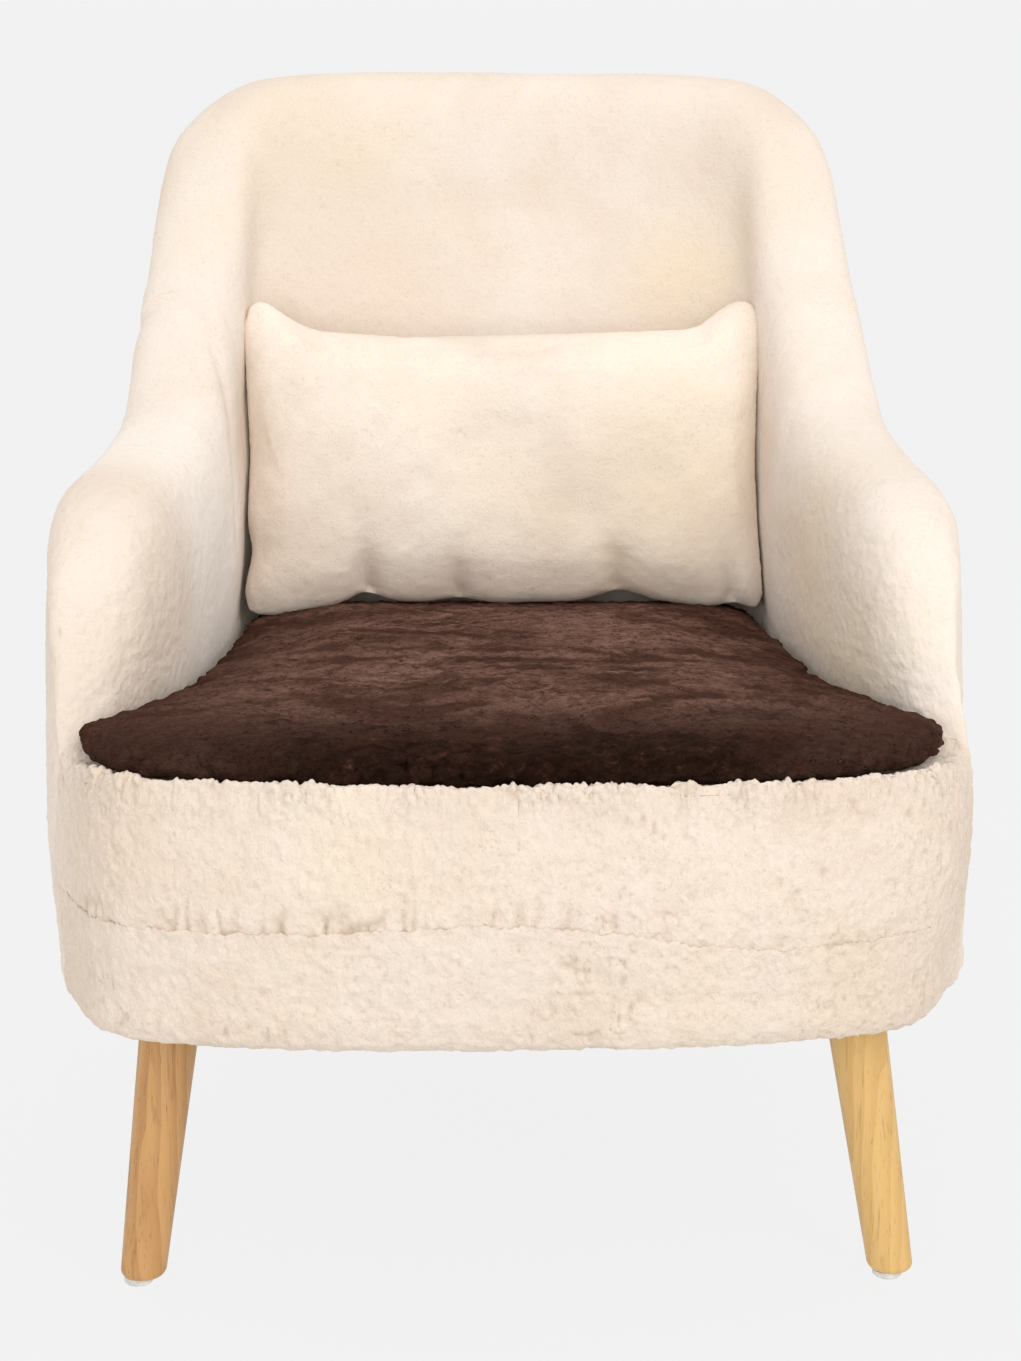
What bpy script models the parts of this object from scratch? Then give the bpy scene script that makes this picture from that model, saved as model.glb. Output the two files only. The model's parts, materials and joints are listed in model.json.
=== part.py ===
"""Sheepskin tub armchair: timber seat and back frame, bent rails, sinuous springs, foam, sewn sheepskin
panels, four splayed legs, a loose T-shaped seat pad and a loose lumbar pillow.

Metres, +Z up, the front faces -Y, and the origin is on the floor under the middle of the chair.

The upholstered body is one closed ring of sections. A place on its outer surface is given by s, the station
round the chair (0 at the back centre, FRONT at the front centre, negative on the left), and t, the place along
the section (0 under the seat, 1 to 2 round the bottom edge, 3 at the outer shoulder, 4 at the inner shoulder,
5 where the cover tucks in beside the seat). Every layer of the body is a slab cut from this surface at a depth
under it.
"""

import math

import bmesh
import bpy
from mathutils import Vector

# Driving dimensions
BOTTOM_Z = 0.208  # underside of the upholstered body
EDGE_RISE = 0.042  # height and width of the rounding along the bottom edge
EDGE_WIDTH = 0.027
HEM = 0.007  # how far the cover runs flat under the frame
FULLNESS = 0.80  # below 1, the rounded edges are squarer than an ellipse
TUCK_Z = 0.372  # where the inner cover ends, below the seat deck
WALL_BULGE = 0.006
INSIDE_BULGE = 0.011
GAP = 0.0003
SEAM = 0.012  # half of the clear strip at a sewn joint, in stations (about 1 mm)
SKIN = 0.012  # hide and shorn pile
FOAM_FROM = SKIN + 0.0015

# Sections from the back centre to the front centre, right side: outline x and y, backward lean of the top,
# height of the top, width of the top roll, and wall width at the seat.
STATIONS = (
    (0.000, 0.335, 0.030, 0.872, 0.080, 0.150),
    (0.114, 0.331, 0.030, 0.872, 0.080, 0.148),
    (0.214, 0.307, 0.028, 0.866, 0.078, 0.134),
    (0.279, 0.247, 0.022, 0.830, 0.074, 0.104),
    (0.299, 0.164, 0.012, 0.712, 0.074, 0.084),
    (0.315, 0.078, 0.003, 0.606, 0.078, 0.091),
    (0.331, -0.012, 0.000, 0.583, 0.082, 0.095),
    (0.339, -0.100, 0.000, 0.573, 0.080, 0.092),
    (0.338, -0.175, 0.000, 0.535, 0.066, 0.067),
    (0.333, -0.223, 0.000, 0.462, 0.044, 0.044),
    (0.320, -0.260, 0.000, 0.398, 0.034, 0.036),
    (0.276, -0.337, 0.000, 0.400, 0.045, 0.047),
    (0.148, -0.369, 0.000, 0.401, 0.046, 0.048),
    (0.000, -0.377, 0.000, 0.401, 0.046, 0.048),
)
FRONT = len(STATIONS) - 1
ARM_SEAM = 4.15  # station of the seam between back and arm
NOSE_SEAM = 9.70  # station of the seam between arm and front
TOP_SEAM = 2.96  # the seam just below the outer shoulder
CREASE_Z = 0.292  # the seam across the front
OUTWARD_STEP = 0.8  # stations
BULGE_END = 0.8  # the inside wall is straight below this share of its height

FRAME_BOTTOM_Z = 0.221
FRAME_TOP_Z = 0.322
BOARD = 0.022
POST_DEPTH = (0.0155, 0.0360)
STRAP_DEPTH = (0.0385, 0.0410)

DUST_COVER_Z = (0.2185, 0.2200)  # undersides and tops of the level layers
HESSIAN_Z = (0.3345, 0.3360)
SEAT_FOAM_Z = (0.3365, 0.3880)
DECK_Z = (0.3885, 0.4010)
SEAT_CLEARANCE = 0.0065  # between the seat layers and the inner covers
PAD_BOTTOM_Z = 0.4026
PAD_RIM = 0.020
PAD_CROWN = 0.020
PAD_COVER = 0.007
PAD_CLEARANCE = 0.009  # from the inner walls
PAD_SETBACK = 0.012  # from the outline, along the front
EAR_START = 9.66  # stations between which the pad's ear passes in front of the arm
EAR_TIP = 9.95

PILLOW_CENTRE = Vector((0.0, 0.146, 0.555))
PILLOW_TILT = math.radians(15.0)
PILLOW_HALF = (0.208, 0.116)
PILLOW_PLUMP = 0.043
PILLOW_RIM = 0.006
PILLOW_COVER = 0.006

LEG_TOP_Z = 0.2172
GLIDE_TOP_Z = 0.005
LEG_TOP_R = 0.0228
LEG_FOOT_R = 0.0170
PLATE_R = 0.0245
BOLT_R = 0.004
BORE_R = BOLT_R + GAP
FRONT_LEG = ((0.250, -0.238), (0.279, -0.264))  # plan places of the leg's top and foot
REAR_LEG = ((0.204, 0.188), (0.224, 0.258))

CREAM = (0.86, 0.77, 0.63)
BROWN = (0.085, 0.045, 0.035)
OAK = (0.62, 0.40, 0.19)
BEECH = (0.66, 0.50, 0.32)
STEEL = (0.55, 0.55, 0.57)
FOAM = (0.90, 0.86, 0.70)
CLOTH = (0.10, 0.10, 0.11)
JUTE = (0.52, 0.40, 0.25)
NYLON = (0.80, 0.80, 0.78)


# Materials and objects


def material(name, colour, roughness, metallic=0.0):
    if name in bpy.data.materials:
        return bpy.data.materials[name]
    made = bpy.data.materials.new(name)
    made.use_nodes = True
    shader = made.node_tree.nodes["Principled BSDF"]
    shader.inputs["Base Color"].default_value = (*colour, 1.0)
    shader.inputs["Roughness"].default_value = roughness
    shader.inputs["Metallic"].default_value = metallic
    return made


def add_object(name, points, faces, finish, smooth=True):
    """A closed mesh object with its faces turned outwards."""
    mesh = bpy.data.meshes.new(name)
    mesh.from_pydata([tuple(p) for p in points], [], faces)
    work = bmesh.new()
    work.from_mesh(mesh)
    bmesh.ops.recalc_face_normals(work, faces=work.faces)
    work.to_mesh(mesh)
    work.free()
    if smooth:
        mesh.shade_smooth()
        mesh.set_sharp_from_angle(angle=math.radians(40))
    mesh.materials.append(finish)
    made = bpy.data.objects.new(name, mesh)
    bpy.context.scene.collection.objects.link(made)
    return made


def as_cutter(made):
    made.hide_render = True
    made.display_type = "WIRE"
    return made


def cut(target, cutter):
    modifier = target.modifiers.new("cut_" + cutter.name, "BOOLEAN")
    modifier.operation = "DIFFERENCE"
    modifier.object = cutter


def soften(made, width=0.0015):
    modifier = made.modifiers.new("eased_edges", "BEVEL")
    modifier.width = width
    modifier.segments = 1
    modifier.limit_method = "ANGLE"


# The ring surface


def mirrored_station(index):
    """The station at any whole index, carried round the chair by mirroring."""
    index = (index + FRONT) % (2 * FRONT) - FRONT
    row = STATIONS[abs(index)]
    return (math.copysign(row[0], index) if index else 0.0,) + row[1:]


def through(a, b, c, d, f):
    """A smooth curve from b to c, for the outline."""
    return b + 0.5 * f * (c - a + f * (2 * a - 5 * b + 4 * c - d + f * (3 * (b - c) + d - a)))


def steady_slope(left, right):
    return 0.0 if left * right <= 0 else 2 * left * right / (left + right)


def steady(a, b, c, d, f):
    """A curve from b to c that never overshoots, for the heights and widths."""
    start = steady_slope(b - a, c - b)
    end = steady_slope(c - b, d - c)
    rise = f * f * (3 - 2 * f)
    return b + (c - b) * rise + start * f * (1 - f) ** 2 - end * f * f * (1 - f)


def station(s):
    index = math.floor(s)
    rows = [mirrored_station(index + k) for k in (-1, 0, 1, 2)]
    values = []
    for column in range(len(STATIONS[0])):
        blend = through if column < 2 else steady
        values.append(blend(*(row[column] for row in rows), s - index))
    return values


def outward(s):
    """The level direction out of the chair, taken over a long stretch so that walls inside corners stay smooth."""
    ahead = station(s + OUTWARD_STEP)
    behind = station(s - OUTWARD_STEP)
    run = Vector((ahead[0] - behind[0], ahead[1] - behind[1])).normalized()
    return Vector((-run.y, run.x))


def plan_point(s, inset, z):
    row = station(s)
    out = outward(s)
    return Vector((row[0] - inset * out.x, row[1] - inset * out.y, z))


def round_over(turn):
    """Level and upright shares of a full, slightly squared quarter or half turn."""
    level = math.copysign(abs(math.cos(turn)) ** FULLNESS, math.cos(turn))
    return level, abs(math.sin(turn)) ** FULLNESS


def ring_point(s, t):
    x, y, lean, top, roll, deck = station(s)
    out = outward(s)
    shoulder = top - roll / 2
    foot = BOTTOM_Z + EDGE_RISE
    back = 0.0
    if t < 1:
        inset = EDGE_WIDTH + HEM * (1 - t)
        z = BOTTOM_Z
    elif t < 2:
        level, upright = round_over((t - 1) * math.pi / 2)
        inset = EDGE_WIDTH * (1 - upright)
        z = foot - EDGE_RISE * level
    elif t < 3:
        f = t - 2
        inset = -WALL_BULGE * math.sin(math.pi * f)
        back = lean * f
        z = foot + (shoulder - foot) * f
    elif t < 4:
        level, upright = round_over((t - 3) * math.pi)
        inset = roll / 2 * (1 - level)
        back = lean
        z = shoulder + roll / 2 * upright
    else:
        f = t - 4
        height = shoulder - TUCK_Z
        bulge = INSIDE_BULGE * min(1.0, height / 0.20) * math.sin(math.pi * min(1.0, f / BULGE_END))
        inset = roll + (deck - roll) * f + bulge
        back = lean * (1 - f)
        z = shoulder - height * f
    return Vector((x - inset * out.x, y - inset * out.y + back, z))


def ring_normal(s, t):
    """The way out of the surface within the section at s, so that the layers of neighbouring panels never cross."""
    step = 0.02
    # The slope is taken inside the stretch that t is on, so that the hem stays flat.
    low = max(t - step, 0.0)
    high = min(t + step, 5.0)
    out = outward(s)
    along = Vector((out.y, -out.x, 0))
    up = ring_point(s, high) - ring_point(s, low)
    return up.cross(along).normalized()


def t_at_height(s, z):
    """The place on the outer wall at height z."""
    _, _, _, top, roll, _ = station(s)
    foot = BOTTOM_Z + EDGE_RISE
    return 2 + (z - foot) / (top - roll / 2 - foot)


def spread(start, end, steps):
    return [start + (end - start) * k / steps for k in range(steps + 1)]


def slab(name, stations, places, depth, finish):
    """A closed slab under the ring surface. places is a list of t, or a function of s that gives one, and depth
    is the two depths, or a function of t that gives them."""
    points = []
    rows = len(stations)
    for layer in (0, 1):
        for s in stations:
            for t in places(s) if callable(places) else places:
                under = depth(t)[layer] if callable(depth) else depth[layer]
                points.append(ring_point(s, t) - ring_normal(s, t) * under)
    columns = len(points) // (2 * rows)
    inner = rows * columns
    faces = []
    for i in range(rows - 1):
        for j in range(columns - 1):
            a = i * columns + j
            faces.append((a, a + 1, a + columns + 1, a + columns))
            faces.append((inner + a, inner + a + columns, inner + a + columns + 1, inner + a + 1))
    rim = list(range(columns))
    rim += [i * columns + columns - 1 for i in range(1, rows)]
    rim += [(rows - 1) * columns + j for j in range(columns - 2, -1, -1)]
    rim += [i * columns for i in range(rows - 2, 0, -1)]
    for a, b in zip(rim, rim[1:] + rim[:1]):
        faces.append((a, b, inner + b, inner + a))
    return add_object(name, points, faces, finish)


# Other shapes


def prism(name, outline, low, high, finish, smooth=False):
    """A flat board or sheet from its plan outline, with its faces at the heights low and high."""
    count = len(outline)
    points = [(x, y, z) for z in (low, high) for x, y in outline]
    faces = [tuple(range(count)), tuple(range(2 * count - 1, count - 1, -1))]
    for k in range(count):
        after = (k + 1) % count
        faces.append((k, after, count + after, count + k))
    return add_object(name, points, faces, finish, smooth)


def box(name, low, high, finish):
    outline = [(low[0], low[1]), (high[0], low[1]), (high[0], high[1]), (low[0], high[1])]
    made = prism(name, outline, low[2], high[2], finish)
    soften(made)
    return made


def turned(name, profile, axis, finish, sides=20):
    """A body of round level sections. profile is (radius, z) from the middle of one end to the middle of the
    other, and axis gives the centre of the section at a height."""
    points = []
    faces = []
    rings = []
    for radius, z in profile:
        centre = axis(z)
        first = len(points)
        if radius == 0:
            points.append(centre)
            rings.append([first])
            continue
        for k in range(sides):
            turn = 2 * math.pi * k / sides
            points.append(centre + Vector((radius * math.cos(turn), radius * math.sin(turn), 0)))
        rings.append(list(range(first, first + sides)))
    for lower, upper in zip(rings, rings[1:]):
        for k in range(sides):
            after = (k + 1) % sides
            corners = [lower[k % len(lower)], lower[after % len(lower)]]
            corners += [upper[after % len(upper)], upper[k % len(upper)]]
            faces.append(tuple(dict.fromkeys(corners)))
    return add_object(name, points, faces, finish)


def padded_solid(name, outline, centre, shares, low, high, finish):
    """A pad from its plan outline. low and high give the heights of its faces at a share of the way out."""
    count = len(outline)
    points = []
    faces = []
    for height in (low, high):
        for share in shares:
            for x, y in outline:
                place = Vector((centre[0] + (x - centre[0]) * share, centre[1] + (y - centre[1]) * share))
                points.append((place.x, place.y, height(share)))
        points.append((centre[0], centre[1], height(0.0)))
    layer = len(shares) * count + 1
    for side in (0, layer):
        for ring in range(len(shares) - 1):
            for k in range(count):
                after = (k + 1) % count
                a = side + ring * count
                faces.append((a + k, a + after, a + count + after, a + count + k))
        last = side + (len(shares) - 1) * count
        for k in range(count):
            faces.append((last + k, last + (k + 1) % count, side + layer - 1))
    for k in range(count):
        after = (k + 1) % count
        faces.append((k, after, layer + after, layer + k))
    return add_object(name, points, faces, finish)


def pillow_solid(name, shrink, finish, across=12, up=8):
    """The pillow's closed form, drawn in from its outer face by shrink."""
    half_x = PILLOW_HALF[0] - 1.6 * shrink
    half_z = PILLOW_HALF[1] - 1.6 * shrink
    rim = PILLOW_RIM - 0.6 * shrink
    plump = PILLOW_PLUMP - 0.4 * shrink
    lean = Vector((0, math.sin(PILLOW_TILT), math.cos(PILLOW_TILT)))
    face = Vector((0, -math.cos(PILLOW_TILT), math.sin(PILLOW_TILT)))
    points = []
    for side in (-1, 1):
        for i in range(across + 1):
            u = math.sin(math.pi / 2 * (2 * i / across - 1))
            for j in range(up + 1):
                v = math.sin(math.pi / 2 * (2 * j / up - 1))
                ear = 1 + 0.10 * u * u * v * v
                thick = rim + plump * ((1 - u * u) * (1 - v * v)) ** 0.45
                place = Vector((u * half_x, 0, 0)) + lean * (v * half_z * ear)
                points.append(PILLOW_CENTRE + place + face * (side * thick))
    rows = up + 1
    layer = (across + 1) * rows
    faces = []
    for i in range(across):
        for j in range(up):
            a = i * rows + j
            faces.append((a, a + 1, a + rows + 1, a + rows))
            faces.append(tuple(layer + k for k in (a, a + rows, a + rows + 1, a + 1)))
    edge = list(range(rows))
    edge += [i * rows + up for i in range(1, across + 1)]
    edge += [across * rows + j for j in range(up - 1, -1, -1)]
    edge += [i * rows for i in range(across - 1, 0, -1)]
    for a, b in zip(edge, edge[1:] + edge[:1]):
        faces.append((a, b, layer + b, layer + a))
    return add_object(name, points, faces, finish)


# The chair's parts

# Layers that lie on each other share these places, so that their facets stay parallel.
BACK_STATIONS = spread(-ARM_SEAM + SEAM, ARM_SEAM - SEAM, 18)
ARM_STATIONS = spread(ARM_SEAM + 3.5 * SEAM, NOSE_SEAM - 4 * SEAM, 12)
FRONT_STATIONS = spread(NOSE_SEAM + 5 * SEAM, FRONT - SEAM, 7)
TOP_ROLL = [3, 3.2, 3.4, 3.6, 3.8, 4]
INSIDE_WALL = [4, 4.2, 4.4, 4.6, 4.8, 5]


def make_covers(hide):
    """The sewn sheepskin panels. The outer ones run from under the frame up to the top seam."""
    outer_places = [0, 1, 1.4, 1.75, 2, 2.33, 2.66, TOP_SEAM - 0.008]
    inner_places = [TOP_SEAM + 0.008] + TOP_ROLL + INSIDE_WALL[1:]
    depth = (0.0, SKIN)
    slab("cover_inside_back", BACK_STATIONS, inner_places, depth, hide)
    slab("cover_outside_back", BACK_STATIONS, outer_places, depth, hide)

    def border_places(s):
        crease = t_at_height(s, CREASE_Z) + 0.004
        return spread(crease, 3, 3) + TOP_ROLL[1:] + [5]

    def apron_places(s):
        crease = t_at_height(s, CREASE_Z) - 0.004
        return [0, 1, 1.4, 1.75, 2, crease]

    for side, sign in (("left", -1), ("right", 1)):
        arm = [sign * s for s in ARM_STATIONS]
        front = [sign * s for s in FRONT_STATIONS]
        slab("cover_inside_arm_" + side, arm, inner_places, depth, hide)
        slab("cover_outside_arm_" + side, arm, outer_places, depth, hide)
        slab("cover_front_border_" + side, front, border_places, depth, hide)
        slab("cover_front_apron_" + side, front, apron_places, depth, hide)


def make_body_foam(foam):
    """Foam on the inside walls, thicker towards the seat."""

    def back_depth(t):
        return (FOAM_FROM, 0.031 + 0.018 * (t - 4))

    slab("back_foam", BACK_STATIONS, INSIDE_WALL, back_depth, foam)
    for side, sign in (("left", -1), ("right", 1)):
        arm = [sign * s for s in ARM_STATIONS[:-4]]
        slab("arm_foam_" + side, arm, INSIDE_WALL, (FOAM_FROM, 0.031), foam)


def make_seat_frame(timber):
    low = FRAME_BOTTOM_Z
    high = FRAME_TOP_Z
    box("front_rail", (-0.190, -0.318, low), (0.190, -0.318 + BOARD, high), timber)
    box("rear_rail", (-0.165, 0.258 - BOARD, low), (0.165, 0.258, high), timber)
    front_outline = [(0.1905, -0.318), (0.243, -0.304), (0.280, -0.262), (0.278, -0.1855)]
    front_outline += [(0.222, -0.1855), (0.1905, -0.216)]
    rear_outline = [(0.1655, 0.258), (0.1655, 0.170), (0.222, 0.0855), (0.278, 0.0855)]
    rear_outline += [(0.258, 0.175), (0.215, 0.232)]
    for side, sign in (("left", -1), ("right", 1)):
        edges = sorted((sign * (0.278 - BOARD), sign * 0.278))
        box("side_rail_" + side, (edges[0], -0.185, low), (edges[1], 0.085, high), timber)
        for end, outline, leg in (("front", front_outline, FRONT_LEG), ("rear", rear_outline, REAR_LEG)):
            name = f"corner_block_{end}_{side}"
            block = prism(name, [(sign * x, y) for x, y in outline], low, high, timber)
            bore = turned(
                name + "_bore",
                [(0, low - 0.02), (BORE_R, low - 0.02), (BORE_R, low + 0.045), (0, low + 0.045)],
                leg_axis(leg, sign),
                timber,
                sides=12,
            )
            cut(block, as_cutter(bore))


def make_upper_frame(timber, web):
    """Bent rails and posts just inside the outer covers, and the webbing across the back."""

    def between(low, high, steps):
        """The places from height low to height high, where a negative height is under the outer shoulder."""

        def places(s):
            _, _, _, top, roll, _ = station(s)
            shoulder = top - roll / 2
            start = low if low > 0 else shoulder + low
            end = high if high > 0 else shoulder + high
            return spread(t_at_height(s, start), t_at_height(s, end), steps)

        return places

    post = (2.95, 3.45)
    stump = (6.75, 7.2)
    joint = 0.004
    inner_span = spread(-post[0] + joint, post[0] - joint, 12)
    slab("top_rail", inner_span, between(-0.090, -0.010, 1), POST_DEPTH, timber)
    slab("lumbar_rail", inner_span, between(0.430, 0.500, 1), POST_DEPTH, timber)
    for side, sign in (("left", -1), ("right", 1)):
        upright = [sign * s for s in spread(*post, 2)]
        slab("back_post_" + side, upright, between(FRAME_TOP_Z + GAP, -0.010, 5), POST_DEPTH, timber)
        front = [sign * s for s in spread(*stump, 2)]
        slab("arm_stump_" + side, front, between(FRAME_TOP_Z + GAP, -0.006, 3), POST_DEPTH, timber)
        arm = [sign * s for s in spread(post[1] + joint, stump[0] - joint, 7)]
        slab("arm_rail_" + side, arm, between(-0.070, -0.006, 1), POST_DEPTH, timber)
    for number, middle in enumerate((-1.5, 0.0, 1.5), start=1):
        strap = spread(middle - 0.26, middle + 0.26, 2)
        slab(f"back_strap_{number}", strap, between(0.440, -0.030, 4), STRAP_DEPTH, web)


def leg_axis(leg, sign):
    """The centre of a leg at a height, from the plan places of its top and foot."""
    (top_x, top_y), (foot_x, foot_y) = leg

    def centre(z):
        f = z / LEG_TOP_Z
        return Vector((sign * (foot_x + (top_x - foot_x) * f), foot_y + (top_y - foot_y) * f, z))

    return centre


def make_legs(oak, steel, nylon):
    base = GLIDE_TOP_Z + GAP
    round_over = 0.005
    stem_r = 0.0025
    stem_top = 0.018
    for end, leg in (("front", FRONT_LEG), ("rear", REAR_LEG)):
        for side, sign in (("left", -1), ("right", 1)):
            name = f"{end}_{side}"
            axis = leg_axis(leg, sign)
            leg_profile = [
                (0, stem_top + GAP),
                (stem_r + GAP, stem_top + GAP),
                (stem_r + GAP, base),
                (LEG_FOOT_R - round_over, base),
                (LEG_FOOT_R - 0.3 * round_over, base + 0.3 * round_over),
                (LEG_FOOT_R, base + round_over),
                (LEG_TOP_R, LEG_TOP_Z),
                (BORE_R, LEG_TOP_Z),
                (BORE_R, LEG_TOP_Z - 0.035),
                (0, LEG_TOP_Z - 0.035),
            ]
            turned("leg_" + name, leg_profile, axis, oak)
            glide_profile = [(0, 0), (0.0095, 0), (0.011, 0.0015), (0.011, GLIDE_TOP_Z)]
            glide_profile += [(stem_r, GLIDE_TOP_Z), (stem_r, stem_top), (0, stem_top)]
            turned("foot_glide_" + name, glide_profile, axis, nylon, sides=16)
            plate_low = LEG_TOP_Z + GAP
            plate_high = FRAME_BOTTOM_Z - GAP
            plate_bore = BOLT_R + 0.0012
            plate_profile = [(plate_bore, plate_low), (PLATE_R, plate_low), (PLATE_R, plate_high)]
            plate_profile += [(plate_bore, plate_high), (plate_bore, plate_low)]
            annulus("leg_plate_" + name, plate_profile, axis(plate_low), steel)
            bolt_profile = [(0, LEG_TOP_Z - 0.034), (BOLT_R, LEG_TOP_Z - 0.034)]
            bolt_profile += [(BOLT_R, FRAME_BOTTOM_Z + 0.044), (0, FRAME_BOTTOM_Z + 0.044)]
            turned("hanger_bolt_" + name, bolt_profile, axis, steel, sides=12)


def annulus(name, profile, centre, finish, sides=20):
    """A turned ring about a vertical axis, from a closed profile of (radius, z)."""
    corners = profile[:-1]
    points = []
    for k in range(sides):
        turn = 2 * math.pi * k / sides
        for radius, z in corners:
            points.append((centre.x + radius * math.cos(turn), centre.y + radius * math.sin(turn), z))
    size = len(corners)
    faces = []
    for k in range(sides):
        after = (k + 1) % sides
        for j in range(size):
            beyond = (j + 1) % size
            faces.append((k * size + j, k * size + beyond, after * size + beyond, after * size + j))
    return add_object(name, points, faces, finish)


def make_springs(steel):
    """Sinuous springs that run from the front rail to the rear rail and arch a little."""
    wire_r = 0.0018
    swing = 0.020
    start = -0.312
    end = 0.252
    loops = 9
    per_loop = 4
    for number, x in enumerate((-0.145, -0.048, 0.048, 0.145), start=1):
        curve = bpy.data.curves.new(f"seat_spring_{number}", "CURVE")
        curve.dimensions = "3D"
        curve.bevel_depth = wire_r
        curve.bevel_resolution = 1
        curve.use_fill_caps = True
        line = curve.splines.new("POLY")
        count = loops * per_loop + 1
        line.points.add(count - 1)
        for k in range(count):
            f = k / (count - 1)
            side = math.copysign(swing, x) * math.sin(2 * math.pi * k / per_loop)
            rise = 0.007 * math.sin(math.pi * f)
            z = FRAME_TOP_Z + wire_r + 2 * GAP + rise
            line.points[k].co = (x + side, start + (end - start) * f, z, 1)
        curve.materials.append(steel)
        made = bpy.data.objects.new(curve.name, curve)
        bpy.context.scene.collection.objects.link(made)


def plan_line(right):
    """A closed plan line from (station, inset) pairs that run down the right side, mirrored on the left."""
    left = [(-s, inset) for s, inset in reversed(right[1:-1])]
    return [plan_point(s, inset, 0).to_2d() for s, inset in right + left]


def make_seat(foam, jute, cloth, hide):
    line = plan_line([(s, station(s)[5] + SEAT_CLEARANCE) for s in spread(0, FRONT, 26)])
    hessian = [(-0.200, -0.315), (0.200, -0.315), (0.255, -0.250), (0.255, 0.060), (0.195, 0.170)]
    hessian += [(0.160, 0.245), (-0.160, 0.245), (-0.195, 0.170), (-0.255, 0.060), (-0.255, -0.250)]
    prism("seat_hessian", hessian, *HESSIAN_Z, jute)
    prism("seat_foam", line, *SEAT_FOAM_Z, foam, smooth=True)
    prism("cover_seat_deck", line, *DECK_Z, hide, smooth=True)
    right = [(0.196, -0.300), (0.196, -0.190), (0.278, -0.180), (0.258, 0.085), (0.240, 0.140)]
    right += [(0.160, 0.140), (0.160, 0.240)]
    left = [(-x, y) for x, y in reversed(right)]
    prism("dust_cover", right + left, *DUST_COVER_Z, cloth)


def make_seat_pad(hide, foam):
    beside_walls = spread(0.0, EAR_START, 17)
    over_front = spread(EAR_TIP, FRONT, 7)
    right = [(s, station(s)[5] + PAD_CLEARANCE) for s in beside_walls]
    line = plan_line(right + [(s, PAD_SETBACK) for s in over_front])
    centre = (0.0, -0.130)

    def crown(share):
        return PAD_BOTTOM_Z + PAD_RIM + PAD_CROWN * (1 - share**3)

    shares = (1.0, 0.88, 0.6, 0.3)
    cover = padded_solid(
        "seat_pad_cover", line, centre, shares, lambda share: PAD_BOTTOM_Z, crown, hide
    )

    def drawn_in(inset):
        made = []
        for x, y in line:
            way = Vector((x - centre[0], y - centre[1]))
            way *= 1 - inset / way.length
            made.append((centre[0] + way.x, centre[1] + way.y))
        return made

    def core(name, extra):
        inset = PAD_COVER + extra
        return padded_solid(
            name,
            drawn_in(1.6 * inset),
            centre,
            shares,
            lambda share: PAD_BOTTOM_Z + 0.5 * inset,
            lambda share: crown(share) - inset,
            foam,
        )

    hollow = as_cutter(core("seat_pad_hollow", 0.0))
    zip_slot = box("seat_pad_zip_slot", (-0.130, 0.100, 0.4105), (0.130, 0.200, 0.4145), foam)
    cut(cover, hollow)
    cut(cover, as_cutter(zip_slot))
    inner = core("seat_pad_core", 0.0006)
    hang_on("seat_pad_lift", (0.0, centre[1], PAD_BOTTOM_Z), (cover, inner))


def make_pillow(hide, foam):
    cover = pillow_solid("pillow_cover", 0.0, hide)
    hollow = as_cutter(pillow_solid("pillow_hollow", PILLOW_COVER, foam))
    insert = pillow_solid("pillow_insert", PILLOW_COVER + 0.002, foam)
    slot_z = PILLOW_CENTRE.z - PILLOW_HALF[1] * math.cos(PILLOW_TILT)
    slot_y = PILLOW_CENTRE.y - PILLOW_HALF[1] * math.sin(PILLOW_TILT)
    zip_slot = box(
        "pillow_zip_slot",
        (-0.110, slot_y - 0.0025, slot_z - 0.020),
        (0.110, slot_y + 0.0025, slot_z + 0.020),
        foam,
    )
    cut(cover, hollow)
    cut(cover, as_cutter(zip_slot))
    hang_on("pillow_lift", tuple(PILLOW_CENTRE), (cover, insert))


def hang_on(name, place, pieces):
    """An empty on the line along which the pieces lift."""
    empty = bpy.data.objects.new(name, None)
    bpy.context.scene.collection.objects.link(empty)
    empty.location = place
    bpy.context.view_layer.update()
    for piece in pieces:
        piece.parent = empty
        piece.matrix_parent_inverse = empty.matrix_world.inverted()


def centre_fore_and_aft():
    """Puts the middle of the chair's depth over the origin."""
    bpy.context.view_layer.update()
    parts = [made for made in bpy.data.objects if made.type == "MESH" and not made.hide_render]
    depths = [(made.matrix_world @ vertex.co).y for made in parts for vertex in made.data.vertices]
    middle = (min(depths) + max(depths)) / 2
    for made in bpy.data.objects:
        if made.parent is None:
            made.location.y -= middle


def main():
    for old in list(bpy.data.objects):
        bpy.data.objects.remove(old)
    cream = material("cream_sheepskin", CREAM, 0.95)
    brown = material("brown_sheepskin", BROWN, 0.95)
    oak = material("oiled_oak", OAK, 0.45)
    beech = material("frame_timber", BEECH, 0.6)
    steel = material("zinc_steel", STEEL, 0.35, 1.0)
    foam = material("foam", FOAM, 0.9)
    cloth = material("dust_cloth", CLOTH, 0.9)
    jute = material("hessian", JUTE, 0.9)
    nylon = material("nylon", NYLON, 0.5)
    make_seat_frame(beech)
    make_upper_frame(beech, jute)
    make_legs(oak, steel, nylon)
    make_springs(steel)
    make_body_foam(foam)
    make_seat(foam, jute, cloth, cream)
    make_covers(cream)
    make_seat_pad(brown, foam)
    make_pillow(cream, foam)
    centre_fore_and_aft()


main()
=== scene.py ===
"""Looks of the sheepskin tub armchair: sewn pile panels, a simulated pillow and seat pad, oiled oak legs.

Everything is in metres in the CAD frame: +Z up, the front faces -Y.
"""

import itertools
import json
import math

import bmesh
import bpy
import numpy as np
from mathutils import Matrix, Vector
from mathutils.bvhtree import BVHTree

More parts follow.
